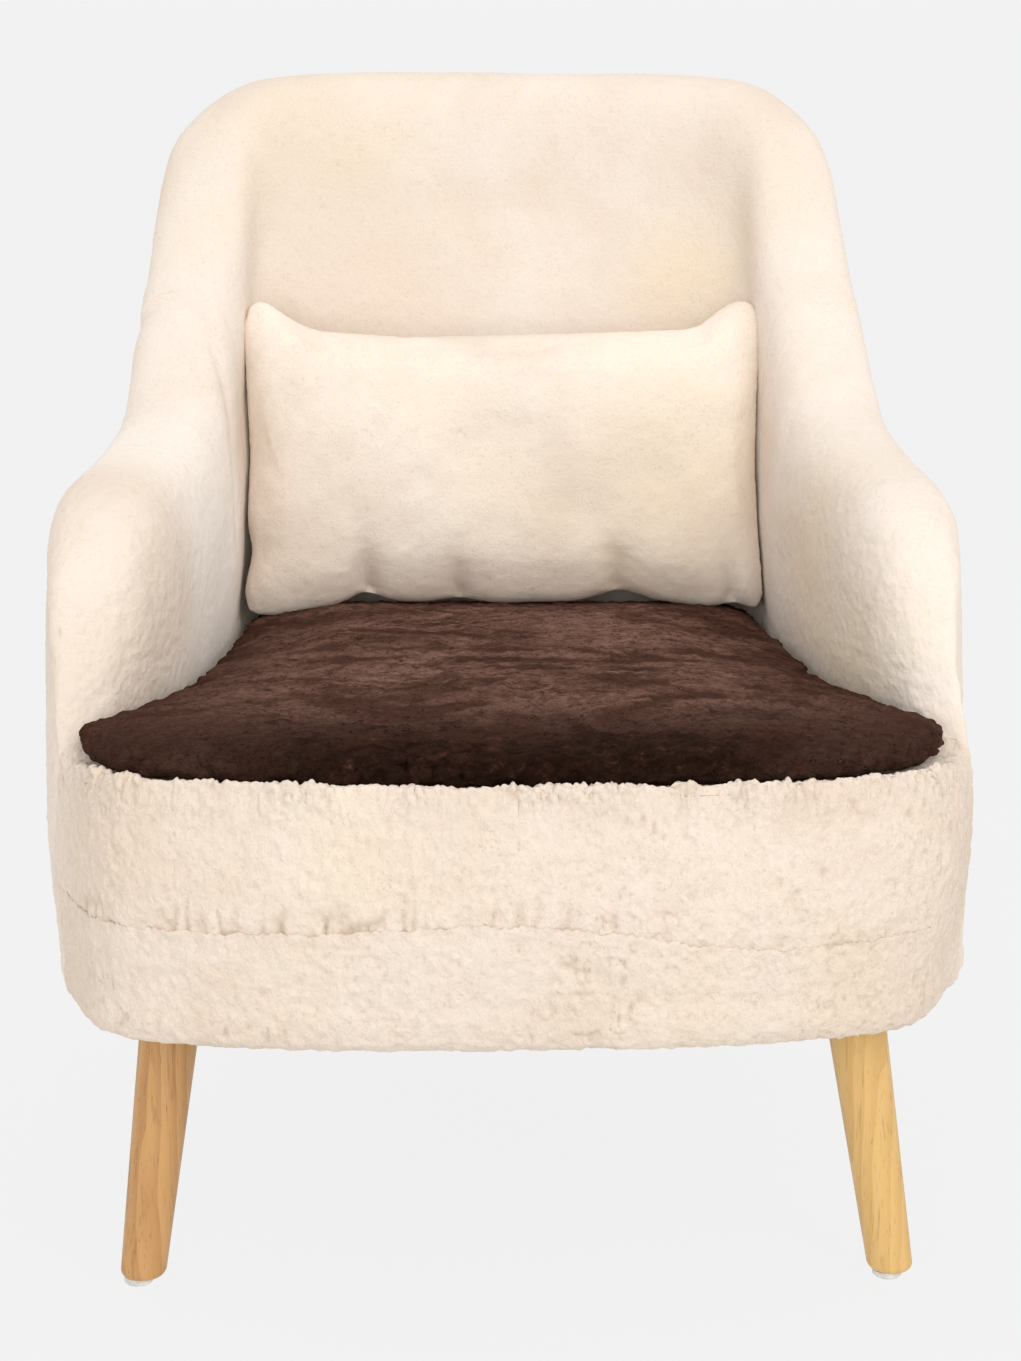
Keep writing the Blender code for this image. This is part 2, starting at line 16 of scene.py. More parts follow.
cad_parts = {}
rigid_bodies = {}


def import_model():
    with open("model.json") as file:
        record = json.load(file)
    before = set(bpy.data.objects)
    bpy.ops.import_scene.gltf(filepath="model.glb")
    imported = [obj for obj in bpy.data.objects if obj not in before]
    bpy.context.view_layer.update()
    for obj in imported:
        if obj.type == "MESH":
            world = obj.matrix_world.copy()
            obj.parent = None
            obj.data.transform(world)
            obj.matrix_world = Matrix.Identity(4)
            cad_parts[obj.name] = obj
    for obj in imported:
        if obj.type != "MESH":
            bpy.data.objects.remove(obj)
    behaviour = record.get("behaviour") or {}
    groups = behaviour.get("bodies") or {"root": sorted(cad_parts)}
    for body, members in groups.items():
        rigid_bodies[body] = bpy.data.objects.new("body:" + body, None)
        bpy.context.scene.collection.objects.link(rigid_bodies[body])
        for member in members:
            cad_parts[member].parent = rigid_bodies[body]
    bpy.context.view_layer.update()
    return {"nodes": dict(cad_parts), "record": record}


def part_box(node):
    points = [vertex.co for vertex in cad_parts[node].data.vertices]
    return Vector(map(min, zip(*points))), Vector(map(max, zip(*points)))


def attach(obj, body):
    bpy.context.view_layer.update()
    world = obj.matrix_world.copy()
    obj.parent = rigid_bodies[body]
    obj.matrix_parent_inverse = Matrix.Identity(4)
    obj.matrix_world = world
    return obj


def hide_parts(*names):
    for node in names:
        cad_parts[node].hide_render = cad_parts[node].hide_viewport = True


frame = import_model()

# The upholstered body is a closed ring of sections, as in the CAD. s is the station round the chair: 0 at the
# back centre, FRONT at the front centre, negative on the left. t is the place along the section: 0 under the
# seat, 1 to 2 round the bottom edge, 3 and 4 at the outer and inner shoulder, 5 at the tuck beside the seat.
# Columns: outline x and y, backward lean, height of the top, width of the top roll, wall width at the seat.
STATIONS = np.array(
    (
        (0.000, 0.335, 0.030, 0.872, 0.080, 0.150),
        (0.114, 0.331, 0.030, 0.872, 0.080, 0.148),
        (0.214, 0.307, 0.028, 0.866, 0.078, 0.134),
        (0.279, 0.247, 0.022, 0.830, 0.074, 0.104),
        (0.299, 0.164, 0.012, 0.712, 0.074, 0.084),
        (0.315, 0.078, 0.003, 0.606, 0.078, 0.091),
        (0.331, -0.012, 0.000, 0.583, 0.082, 0.095),
        (0.339, -0.100, 0.000, 0.573, 0.080, 0.092),
        (0.338, -0.175, 0.000, 0.535, 0.066, 0.067),
        (0.333, -0.223, 0.000, 0.462, 0.044, 0.044),
        (0.320, -0.260, 0.000, 0.398, 0.034, 0.036),
        (0.276, -0.337, 0.000, 0.400, 0.045, 0.047),
        (0.148, -0.369, 0.000, 0.401, 0.046, 0.048),
        (0.000, -0.377, 0.000, 0.401, 0.046, 0.048),
    )
)
FRONT = len(STATIONS) - 1
BOTTOM_Z = 0.208
EDGE_RISE, EDGE_WIDTH = 0.042, 0.027  # rounding of the bottom edge
FOOT_Z = BOTTOM_Z + EDGE_RISE  # where the outer wall starts
HEM = 0.007  # how far the hem runs in under the seat
FULLNESS = 0.80  # exponent of the roundings: 1 is a circle
TUCK_Z = 0.372  # where the inner wall ends beside the seat
WALL_BULGE, INSIDE_BULGE = 0.006, 0.011  # padding of the outer and the inner wall
BULGE_HEIGHT = 0.20  # an inner wall lower than this has less padding
BULGE_END = 0.8  # the share of the inner wall that is padded
ARM_SEAM, NOSE_SEAM = 4.15, 9.70  # stations of the seams between back, arm and front
TOP_SEAM = 2.96  # t of the seam between the outer and the inner covers
CREASE_Z = 0.292  # height that the wavy seam across the front is measured from
OUTWARD_STEP = 0.8  # the outward direction comes from the outline this many stations to either side
BACK_LEAN_Y = 0.365  # the ring's rearmost point before it is centred
SHIFT_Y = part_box("cover_inside_back")[1].y - BACK_LEAN_Y
HIDE, HEM_HIDE = 0.009, 0.005  # thickness of a panel with its pile, and at the hem
FRINGE_T = 3.24  # where the front's pile stands up against the seat pad
METRES_PER_STATION = 0.088  # near the arm seam
PER_UNIT = 240  # samples of a section in a unit of t

PAD_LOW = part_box("seat_pad_cover")[0]
PILLOW_LOW, PILLOW_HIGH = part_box("pillow_cover")


def rgb(red, green, blue):
    """A linear colour from display values of 0 to 255."""
    share = np.array((red, green, blue)) / 255
    return tuple(np.where(share <= 0.04045, share / 12.92, ((share + 0.055) / 1.055) ** 2.4))


def unit(value):
    return np.clip(value, 0, 1)


# Noise

CELL_CORNERS = tuple(itertools.product((0, 1), repeat=3))


def lattice(cell, seed):
    """A random value from 0 to 1 at each whole lattice point."""
    x, y, z = np.moveaxis(cell, -1, 0)
    h = x * np.uint32(374761393) + y * np.uint32(668265263) + z * np.uint32(2246822519)
    h = h + np.uint32((seed * 1274126177) & 0xFFFFFFFF)
    h = (h ^ (h >> np.uint32(13))) * np.uint32(1274126177)
    h = (h ^ (h >> np.uint32(15))) * np.uint32(2654435761)
    return (h ^ (h >> np.uint32(16))).astype(np.float32) / np.float32(4294967296.0)


def noise(points, size, seed):
    """Smooth noise from -1 to 1 with features of the given size."""
    p = points / size
    base = np.floor(p)
    f = (p - base).astype(np.float32)
    f = f * f * (3 - 2 * f)
    cell = base.astype(np.int64).astype(np.uint32)
    total = 0
    for corner in CELL_CORNERS:
        weight = 1
        for axis in range(3):
            weight = weight * (f[..., axis] if corner[axis] else 1 - f[..., axis])
        total = total + lattice(cell + np.array(corner, np.uint32), seed) * weight
    return 2 * total - 1


def fractal(points, size, octaves, seed):
    total = 0
    for k in range(octaves):
        total = total + 0.5**k * noise(points, size / 2**k, seed + 17 * k)
    return total / (2 - 0.5 ** (octaves - 1))


def tufts(points, size, seed):
    """Rounded tufts with creases between them, from 0 in a crease to 1 on a tuft."""
    warp = np.stack([noise(points, 1.3 * size, seed + k) for k in (1, 2, 3)], axis=-1)
    p = (points + 0.42 * size * warp) / size
    base = np.floor(p - 0.5)
    nearest = np.full(points.shape[:-1], 9.0, np.float32)
    second = nearest.copy()
    for corner in CELL_CORNERS:
        cell = base + corner
        key = cell.astype(np.int64).astype(np.uint32)
        gap = 0
        for axis in range(3):
            place = cell[..., axis] + 0.5 + 0.72 * (lattice(key, seed + 31 * axis) - 0.5)
            gap = gap + (p[..., axis] - place) ** 2
        closer = gap < nearest
        second = np.where(closer, nearest, np.minimum(second, gap))
        nearest = np.where(closer, gap, nearest)
    crease = unit((np.sqrt(second) - np.sqrt(nearest)) / 0.45)
    return (crease * (2 - crease) * (0.75 + 0.25 * unit(1 - nearest))).astype(np.float32)


# The ring surface


def station(s):
    """STATIONS at any s: the outline on a smooth curve, the other columns on one that never overshoots."""
    s = np.asarray(s, float)
    index = np.floor(s).astype(int)
    f = (s - index)[..., None]
    rows = []
    for k in (-1, 0, 1, 2):
        wrapped = (index + k + FRONT) % (2 * FRONT) - FRONT
        row = STATIONS[np.abs(wrapped)].copy()
        row[..., 0] *= np.sign(wrapped)
        rows.append(row)
    a, b, c, d = rows
    curve = b + 0.5 * f * (c - a + f * (2 * a - 5 * b + 4 * c - d + f * (3 * (b - c) + d - a)))

    def slope(left, right):
        both = left + right
        safe = np.where(both == 0, 1, both)
        return np.where(left * right <= 0, 0, 2 * left * right / safe)

    rise = f * f * (3 - 2 * f)
    steady = b + (c - b) * rise + slope(b - a, c - b) * f * (1 - f) ** 2
    steady = steady - slope(c - b, d - c) * f * f * (1 - f)
    return np.concatenate([curve[..., :2], steady[..., 2:]], axis=-1)


def outward(s):
    run = station(s + OUTWARD_STEP)[..., :2] - station(s - OUTWARD_STEP)[..., :2]
    run = run / np.linalg.norm(run, axis=-1, keepdims=True)
    return np.stack([-run[..., 1], run[..., 0]], axis=-1)


def round_over(turn):
    cosine = np.cos(turn)
    level = np.sign(cosine) * np.abs(cosine) ** FULLNESS
    return level, np.abs(np.sin(turn)) ** FULLNESS


def ring(s, t):
    """Points of the ring surface, before any padding or pile."""
    s, t = np.broadcast_arrays(np.asarray(s, float), np.asarray(t, float))
    x, y, lean, top, roll, deck = np.moveaxis(station(s), -1, 0)
    out = outward(s)
    shoulder = top - roll / 2
    low_level, low_up = round_over(unit(t - 1) * math.pi / 2)
    wall = unit(t - 2)
    top_level, top_up = round_over(unit(t - 3) * math.pi)
    f = unit(t - 4)
    height = shoulder - TUCK_Z
    padded = np.minimum(1, height / BULGE_HEIGHT) * np.sin(math.pi * np.minimum(1, f / BULGE_END))
    zones = [t < 1, t < 2, t < 3, t < 4]
    insets = [
        EDGE_WIDTH + HEM * (1 - t),
        EDGE_WIDTH * (1 - low_up),
        -WALL_BULGE * np.sin(math.pi * wall),
        roll / 2 * (1 - top_level),
    ]
    inset = np.select(zones, insets, roll + (deck - roll) * f + INSIDE_BULGE * padded)
    heights = [
        BOTTOM_Z + 0 * t,
        FOOT_Z - EDGE_RISE * low_level,
        FOOT_Z + (shoulder - FOOT_Z) * wall,
        shoulder + roll / 2 * top_up,
    ]
    z = np.select(zones, heights, shoulder - height * f)
    back = np.select(zones, [0 * t, 0 * t, lean * wall, lean + 0 * t], lean * (1 - f))
    return np.stack([x - inset * out[..., 0], y - inset * out[..., 1] + back + SHIFT_Y, z], axis=-1)


def t_at_height(s, z):
    """The place on the outer wall at a height."""
    row = station(s)
    return 2 + (z - FOOT_Z) / (row[..., 3] - row[..., 4] / 2 - FOOT_Z)


def run_along(points, axis):
    """The distance of each point from the start of its line along an axis of the grid."""
    steps = np.linalg.norm(np.diff(points, axis=axis), axis=-1)
    start = np.zeros_like(np.take(steps, [0], axis=axis))
    return np.concatenate([start, np.cumsum(steps, axis=axis)], axis=axis)


def resample(at, way, line):
    """A line's points at places along it, its own points being at the places in way."""
    return np.stack([np.interp(at, way, column) for column in line.T], axis=-1)


def eased_sections(s):
    """Whole sections at the stations s, their inner shoulder eased into the wall: values of t, and points."""
    t = np.linspace(0, 5, 5 * PER_UNIT + 1)
    line = ring(s[:, None], t)
    for row, way in zip(line, run_along(line, 1)):
        outer, inner = way[3 * PER_UNIT], way[4 * PER_UNIT]
        below = min(0.085, 0.5 * (way[-1] - inner))
        above = min(0.42 * (inner - outer), 1.5 * below)
        start, end = inner - above, inner + below
        before, first, last, after = resample((start - 0.001, start, end, end + 0.001), way, row)
        reach = 1.05 * np.linalg.norm(last - first)
        leave = (first - before) / np.linalg.norm(first - before) * reach
        arrive = (after - last) / np.linalg.norm(after - last) * reach
        inside = (way > start) & (way < end)
        w = ((way[inside] - start) / (end - start))[:, None]
        keep = 1 - w
        eased = (1 + 2 * w) * keep**2 * first + w * keep**2 * leave
        row[inside] = eased + w**2 * (3 - 2 * w) * last - w**2 * keep * arrive
    return t, line


def even_grid(s_range, t_from, t_to, cell):
    """A grid on the ring surface with cells of nearly equal size, its counts one more than multiples of 4."""
    s = np.linspace(*s_range, 600)
    lines = [ring(s, t_from(s) + (t_to(s) - t_from(s)) * share) for share in np.linspace(0.02, 0.98, 7)]
    length = max((run_along(line, 0) for line in lines), key=lambda run: run[-1])
    rows = 4 * max(2, round(length[-1] / cell / 4)) + 1
    s = np.interp(np.linspace(0, length[-1], rows), length, s)
    section_t, sections = eased_sections(s)
    wanted = t_from(s)[:, None] + (t_to(s) - t_from(s))[:, None] * np.linspace(0, 1, 400)
    dense = np.array([resample(at, section_t, section) for at, section in zip(wanted, sections)])
    runs = run_along(dense, 1)
    columns = 4 * max(2, round(runs[:, -1].max() / cell / 4)) + 1
    even = [np.linspace(0, run[-1], columns) for run in runs]
    points = np.array([resample(at, run, line) for at, run, line in zip(even, runs, dense)])
    places = np.array([np.interp(at, run, line_t) for at, run, line_t in zip(even, runs, wanted)])
    return points, np.broadcast_to(s[:, None], places.shape), places


def edge_distances(points):
    """The distance of each grid point from the start and end of its row and of its column."""
    along, up = run_along(points, 0), run_along(points, 1)
    return along, along[-1:] - along, up, up[:, -1:] - up


# Mesh building


def new_object(name, data):
    made = bpy.data.objects.new(name, data)
    bpy.context.scene.collection.objects.link(made)
    return made


def mesh_object(name, points, faces, material):
    """An object from points and a list of arrays of faces with one corner count each."""
    mesh = bpy.data.meshes.new(name)
    mesh.vertices.add(len(points))
    mesh.vertices.foreach_set("co", np.asarray(points, np.float32).ravel())
    corners = np.concatenate([block.ravel() for block in faces])
    sizes = np.concatenate([np.full(len(block), block.shape[1]) for block in faces])
    mesh.loops.add(len(corners))
    mesh.loops.foreach_set("vertex_index", corners.astype(np.int32))
    mesh.polygons.add(len(sizes))
    starts = np.concatenate([[0], np.cumsum(sizes)[:-1]])
    mesh.polygons.foreach_set("loop_start", starts.astype(np.int32))
    mesh.update(calc_edges=True)
    mesh.validate()
    mesh.shade_smooth()
    mesh.materials.append(material)
    return new_object(name, mesh)


def vectors(mesh, key="co"):
    """The positions of a mesh's points, or another vector of each."""
    values = np.empty(len(mesh.vertices) * 3, np.float32)
    mesh.vertices.foreach_get(key, values)
    return values.reshape(-1, 3).astype(float)


def set_points(made, points):
    made.data.vertices.foreach_set("co", np.asarray(points, np.float32).ravel())
    made.data.update()


def set_crease_shade(made, values):
    """Keeps the value that the pile materials read for painted shade: low in creases, 1 on the tufts."""
    attribute = made.data.attributes.new("pile", "FLOAT", "POINT")
    attribute.data.foreach_set("value", np.asarray(values, np.float32).ravel())


def set_material(made, material):
    made.data.materials.clear()
    made.data.materials.append(material)


def set_smooth(made, sharp_degrees):
    """Smooth shading, with edges left sharp where faces meet at more than an angle."""
    made.data.shade_smooth()
    made.data.set_sharp_from_angle(angle=math.radians(sharp_degrees))


def welded(mesh, distance):
    """An editable copy of a mesh, its coinciding points joined."""
    work = bmesh.new()
    work.from_mesh(mesh)
    bmesh.ops.remove_doubles(work, verts=work.verts, dist=distance)
    return work


def write_back(work, mesh):
    work.to_mesh(mesh)
    work.free()


def declare(made, body, node_name):
    """Puts a piece on a body in place of a CAD node, which is hidden."""
    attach(made, body)
    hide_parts(node_name)


def grid_normals(points):
    normal = np.cross(np.gradient(points, axis=1), np.gradient(points, axis=0))
    return normal / np.maximum(np.linalg.norm(normal, axis=-1, keepdims=True), 1e-12)


def grid_faces(index, turned=False):
    """The faces of a grid of point numbers, turned for the other side."""
    corners = [index[:-1, :-1], index[:-1, 1:], index[1:, 1:], index[1:, :-1]]
    if turned:
        corners = [corners[k] for k in (0, 3, 2, 1)]
    return np.stack(corners, axis=-1).reshape(-1, 4)


def slab_mesh(name, outer, inner, material, value):
    """A closed panel: the finely modelled outer face, and an inner face with cells four times as wide."""
    rows, columns = outer.shape[:2]
    inner = inner[::4, ::4]
    inner_count = inner.shape[0] * inner.shape[1]
    points = np.concatenate([outer.reshape(-1, 3), inner.reshape(-1, 3)])
    index = np.arange(rows * columns).reshape(rows, columns)
    below = rows * columns + np.arange(inner_count).reshape(inner.shape[:2])
    sides = []
    for fine, coarse, turned in (
        (index[0], below[0], False),
        (index[-1], below[-1], True),
        (index[:, 0], below[:, 0], True),
        (index[:, -1], below[:, -1], False),
    ):
        strip = [fine[k : k + len(coarse) * 4 - 3 : 4][: len(coarse) - 1] for k in range(4)]
        block = np.stack([*strip, fine[4::4], coarse[1:], coarse[:-1]], axis=-1)
        sides.append(block if turned else block[:, ::-1])
    made = mesh_object(name, points, [grid_faces(index), grid_faces(below, turned=True), *sides], material)
    made.data.set_sharp_from_angle(angle=math.radians(72))
    # The painted crease shade of the outer face; the hidden inner face is left darker.
    set_crease_shade(made, np.concatenate([value.ravel(), np.full(inner_count, 0.2)]))
    return made


# Materials


class Paint:
    """A material whose colour is laid on in coats, over the object's own coordinates."""

    def __init__(self, name, ground=(1, 1, 1), **mapping):
        self.material = bpy.data.materials.new(name)
        self.material.use_nodes = True
        self.tree = self.material.node_tree
        self.place = self.node("TexCoord").outputs["Object"]
        if mapping:
            self.place = self.moved(self.place, **mapping)
        self.colour = (*ground, 1.0)

    def fill(self, socket, value):
        if isinstance(value, bpy.types.NodeSocket):
            self.tree.links.new(value, socket)
        else:
            socket.default_value = value

    def node(self, kind, inputs=(), **settings):
        """A node with its settings, and inputs given as {socket: value or output socket}."""
        made = self.tree.nodes.new("ShaderNode" + kind)
        for key, value in settings.items():
            setattr(made, key, value)
        for key, value in dict(inputs).items():
            self.fill(made.inputs[key], value)
        return made

    def moved(self, place, scale=(1, 1, 1), offset=(0, 0, 0), turn=(0, 0, 0)):
        inputs = {"Vector": place, "Scale": scale, "Location": offset, "Rotation": turn}
        return self.node("Mapping", inputs).outputs["Vector"]

    def noise(self, density, detail=2.0, roughness=0.5, distortion=0.0, **mapping):
        place = self.moved(self.place, **mapping) if mapping else self.place
        inputs = {"Vector": place, "Scale": density, "Detail": detail, "Roughness": roughness}
        return self.node("TexNoise", {**inputs, "Distortion": distortion}).outputs["Fac"]

    def wave(self, place, density, distortion, detail, detail_scale, **settings):
        inputs = {"Vector": place, "Scale": density, "Distortion": distortion}
        inputs = {**inputs, "Detail": detail, "Detail Scale": detail_scale}
        return self.node("TexWave", inputs, **settings).outputs["Fac"]

    def stretch(self, value, low, high, at_low=0.0, at_high=1.0):
        """A value eased from one result at low to another at high."""
        inputs = {"Value": value, "From Min": low, "From Max": high, "To Min": at_low, "To Max": at_high}
        return self.node("MapRange", inputs, interpolation_type="SMOOTHSTEP").outputs["Result"]

    def math(self, operation, first, second=0.0):
        return self.node("Math", {0: first, 1: second}, operation=operation).outputs[0]

    def distance(self, centre):
        return self.node("VectorMath", {0: self.place, 1: centre}, operation="DISTANCE").outputs["Value"]

    # The painted shade of the creases and hollows, kept on the mesh as its pile value.
    def pile(self):
        return self.node("Attribute", attribute_name="pile").outputs["Fac"]

    def coat(self, colour, share, *limits):
        """Lays a colour over the others by a share, stretched first where limits are given."""
        share = self.stretch(share, *limits) if limits else share
        mixed = self.node("Mix", {0: share, 6: self.colour, 7: (*colour, 1.0)}, data_type="RGBA")
        self.colour = mixed.outputs[2]

    def done(self, values):
        """The material, its shader's own sockets given values or output sockets."""
        shader = self.tree.nodes["Principled BSDF"]
        for socket, value in values.items():
            self.fill(shader.inputs[socket], value)
        return self.material

    def finish(self, roughness, height, strength, distance, values=()):
        """The finished material, its surface bumped by a height."""
        bump = self.node("Bump", {"Height": height, "Strength": strength, "Distance": distance})
        joined = {"Base Color": self.colour, "Roughness": roughness, "Normal": bump.outputs["Normal"]}
        return self.done({**joined, **dict(values)})


def sheen(weight, roughness, tint, specular):
    values = {"Sheen Weight": weight, "Sheen Roughness": roughness, "Sheen Tint": (*tint, 1.0)}
    return {**values, "Specular IOR Level": specular}


# Warmer, yellowish places on the covers (where, and how far they reach), and a painted pool of light on the
# inside of the left arm.
WARM_SPOTS = (
    ((0.17, 0.25, 0.70), 0.08),
    ((0.27, -0.03, 0.50), 0.11),
    ((0.28, -0.14, 0.45), 0.09),
    ((4.34, 1.25, 1.15), 0.12),
)
LEFT_ARM_LIGHT_POOL = (-0.27, 0.03, 0.49)
LIGHT_POOL_COLOUR = rgb(247, 240, 232)
CREAM_LIGHT = rgb(231, 219, 207)
CREAM_DARK = rgb(225, 209, 193)
CREAM_WARM = rgb(229, 212, 185)
# Colour of the painted shade in the creases and pits of the pile.
CREAM_CREASE_SHADE = rgb(176, 148, 120)


def pile_material(name, light, dark, creases, offset, pit_shade_and_bump, knots=0.0):
    """Shorn wool: faint patches of tone, painted shade in the creases between curls and in the pits, a
    painted pool of light on the left arm, a fine grain and a soft sheen.
    """
    paint = Paint(name, light, offset=offset)
    patches = paint.noise(5.5, 3.0, 0.55, 0.6)
    stains = paint.noise(4.0, 2.0, 0.6, 0.4, offset=(3.1, 7.7, 1.3))
    clouds = paint.noise(24.0, 4.0, 0.6, 0.3, offset=(9.1, 2.2, 4.9))
    paint.coat(dark, patches, 0.38, 0.70)
    paint.coat(CREAM_WARM, stains, 0.52, 0.76, 0.0, 0.45)
    paint.coat(dark, clouds, 0.40, 0.80, 0.0, 0.35)
    for centre, reach in WARM_SPOTS:
        away = paint.math("ADD", paint.distance(centre), paint.math("MULTIPLY", clouds, 0.10))
        paint.coat(CREAM_WARM, away, 0.05, 0.05 + reach, 0.8, 0.0)
    # A painted pool of light on the inside of the left arm.
    paint.coat(LIGHT_POOL_COLOUR, paint.distance(LEFT_ARM_LIGHT_POOL), 0.05, 0.16, 0.85, 0.0)
    # Painted shade in the creases of the pile, by the mesh's pile value; creases sets its strength.
    paint.coat(CREAM_CREASE_SHADE, paint.pile(), 0.25, 1.0, creases, 0.0)
    fibre = paint.noise(1000.0, 2.0, 0.7)
    curl = paint.noise(380.0, 3.0, 0.6, 0.8)
    # Painted shade in the pits of the curl bump, which also sets the strength of the bump.
    pit_shade, uneven = paint.stretch(curl, 0.30, 0.46, 1.0, 0.0), paint.stretch(clouds, 0.3, 0.7, 0.4, 1.0)
    paint.coat(CREAM_CREASE_SHADE, paint.math("MULTIPLY", paint.math("MULTIPLY", pit_shade, uneven), 0.36 * pit_shade_and_bump))
    height = paint.math("ADD", paint.math("MULTIPLY", curl, 1.8), fibre)
    if knots:
        coarse = paint.noise(170.0, 4.0, 0.62, 1.4, scale=(1.2, 1.0, 0.8))
        height = paint.math("ADD", height, paint.math("MULTIPLY", coarse, knots))
    rough = paint.stretch(clouds, 0.2, 0.8, 0.82, 0.97)
    return paint.finish(rough, height, 0.50 * pit_shade_and_bump, 0.0012, sheen(0.35, 0.45, light, 0.2))


def brushed_material(name, light, middle, dark, shade):
    """Longer pile brushed across the seat: patches and strands along X, painted shade at the sides and in the
    creases, and a front band of painted shade and darker pile.
    """
    paint = Paint(name, light)
    broad = paint.noise(15.0, 4.0, 0.60, 1.0, scale=(0.55, 1.0, 1.0))
    streaks = paint.noise(46.0, 5.0, 0.66, 1.8, scale=(0.60, 1.1, 1.1), turn=(0, 0, 0.10))
    fine = paint.noise(260.0, 4.0, 0.72, 1.0, scale=(0.7, 1.0, 1.0), turn=(0, 0, -0.12))
    fibre = paint.noise(900.0, 2.0, 0.7, scale=(0.6, 1.0, 1.0))
    split = paint.node("SeparateXYZ", {"Vector": paint.place})
    aside = paint.math("ABSOLUTE", split.outputs["X"])
    paint.coat(middle, broad, 0.34, 0.58)
    paint.coat(dark, broad, 0.46, 0.64, 0.0, 0.75)
    paint.coat(dark, streaks, 0.46, 0.66, 0.0, 0.70)
    # Painted shade towards the sides of the pad, beside the arms.
    paint.coat(dark, aside, 0.10, 0.30, 0.0, 0.75)
    paint.coat(dark, fine, 0.48, 0.68, 0.0, 0.60)
    paint.coat(shade, fine, 0.56, 0.72, 0.0, 0.85)
    paint.coat(shade, fibre, 0.50, 0.74, 0.0, 0.45)
    # Painted shade, with darker pile, in a band along the front where the lip turns down: it has a ragged
    # border and fades towards the sides.
    wander = paint.math("MULTIPLY", paint.math("SUBTRACT", broad, 0.5), 0.17)
    ragged = paint.math("MULTIPLY", paint.math("SUBTRACT", streaks, 0.5), 0.16)
    from_front = paint.math("ADD", split.outputs["Y"], paint.math("ADD", wander, ragged))
    band = paint.stretch(from_front, PAD_LOW.y + 0.010, PAD_LOW.y + 0.100, 0.92, 0.0)
    paint.coat(shade, paint.math("MULTIPLY", band, paint.stretch(aside, 0.12, 0.28, 1.0, 0.52)))
    mottle = paint.noise(105.0, 4.0, 0.72, 0.3, scale=(0.8, 1.0, 1.0))
    paint.coat(dark, mottle, 0.46, 0.66, 0.0, 0.50)
    paint.coat(middle, mottle, 0.58, 0.80, 0.0, 0.35)
    # Painted shade in the creases of the pile, by the mesh's pile value.
    paint.coat(shade, paint.pile(), 0.2, 1.0, 0.65, 0.0)
    height = paint.math("ADD", paint.math("MULTIPLY", fine, 2.0), fibre)
    rough = paint.stretch(streaks, 0.3, 0.7, 0.78, 0.92)
    return paint.finish(rough, height, 0.9, 0.0024, sheen(0.01, 0.4, light, 0.02))


def wood_material(name, pale, deep, pore, offset, gloss=0.42):
    """Oak grain along Z: wandering rings, long pores and a satin oil."""
    paint = Paint(name, pale, offset=offset)
    wander = paint.noise(9.0, 3.0, 0.55, scale=(1, 1, 0.18))
    push = paint.node("CombineXYZ", {"X": paint.math("MULTIPLY", wander, 0.10)}).outputs[0]
    sway = paint.node("VectorMath", {0: paint.place, 1: push}, operation="ADD").outputs[0]
    rings = paint.wave(paint.moved(sway, scale=(1, 0.35, 0.06)), 30.0, 2.5, 3.0, 1.5, wave_profile="SAW")
    pores = paint.noise(900.0, 3.0, 0.7, scale=(1, 1, 0.035))
    fleck = paint.noise(220.0, 2.0, 0.6, 0.5, scale=(1, 1, 0.10))
    paint.coat(deep, rings, 0.1, 1.0, 0.0, 0.75)
    paint.coat(deep, wander, 0.35, 0.7, 0.0, 0.5)
    paint.coat(pore, fleck, 0.55, 0.75, 0.0, 0.45)
    paint.coat(pore, pores, 0.58, 0.74, 0.0, 0.75)
    height = paint.math("SUBTRACT", paint.math("MULTIPLY", rings, 0.25), pores)
    return paint.finish(paint.stretch(pores, 0.4, 0.8, gloss, gloss + 0.25), height, 0.25, 0.0005)


def plain_material(name, light, dark, density, roughness, metallic=0.0, bump_size=0.0003, weave=0.0):
    """A worn plain finish: two tones in fine noise, or the two directions of a weave."""
    paint = Paint(name, dark)
    grain = paint.noise(density, 4.0, 0.6)
    wear = paint.noise(density / 14, 3.0, 0.55)
    tone = paint.stretch(grain, 0.35, 0.7)
    if weave:
        threads = [paint.wave(paint.place, weave, 0.6, 1.0, 2.0, bands_direction=way) for way in ("X", "Y")]
        tone = paint.math("MULTIPLY", tone, paint.math("MULTIPLY", *threads))
    paint.coat(light, tone)
    paint.coat(dark, wear, 0.45, 0.75, 0.0, 0.4)
    rough = paint.stretch(wear, 0.3, 0.7, roughness - 0.08, roughness + 0.08)
    return paint.finish(rough, tone, 0.4, bump_size, {"Metallic": metallic})


hide = pile_material("cream_pile", CREAM_LIGHT, CREAM_DARK, 0.40, (0, 0, 0), pit_shade_and_bump=0.6, knots=1.5)
curly = (rgb(229, 214, 199), rgb(221, 203, 185))
curly_hide = pile_material("cream_curled_pile", *curly, 0.60, (1.7, 0.4, 2.3), pit_shade_and_bump=0.9, knots=5.0)
pillow_light = rgb(240, 227, 212)
pillow_hide = pile_material("cream_pillow_pile", pillow_light, CREAM_DARK, 0.40, (4.2, 1.1, 0.6), pit_shade_and_bump=0.7)
browns = (rgb(150, 113, 99), rgb(127, 93, 80), rgb(68, 43, 34), rgb(24, 11, 5))
brown_hide = brushed_material("brown_pile", *browns)
browner = (rgb(204, 157, 99), rgb(176, 127, 73), rgb(122, 78, 40))
oak_left = wood_material("oak_browner", *browner, (0.31, 0.0, 0.2))
yellower = (rgb(222, 184, 119), rgb(204, 161, 93), rgb(162, 116, 60))
oak_right = wood_material("oak_yellower", *yellower, (1.37, 0.4, 0.9))
pine = (rgb(214, 186, 140), rgb(190, 154, 106), rgb(140, 104, 66))
frame_wood = wood_material("frame_pine", *pine, (2.1, 0.2, 0.4), gloss=0.6)
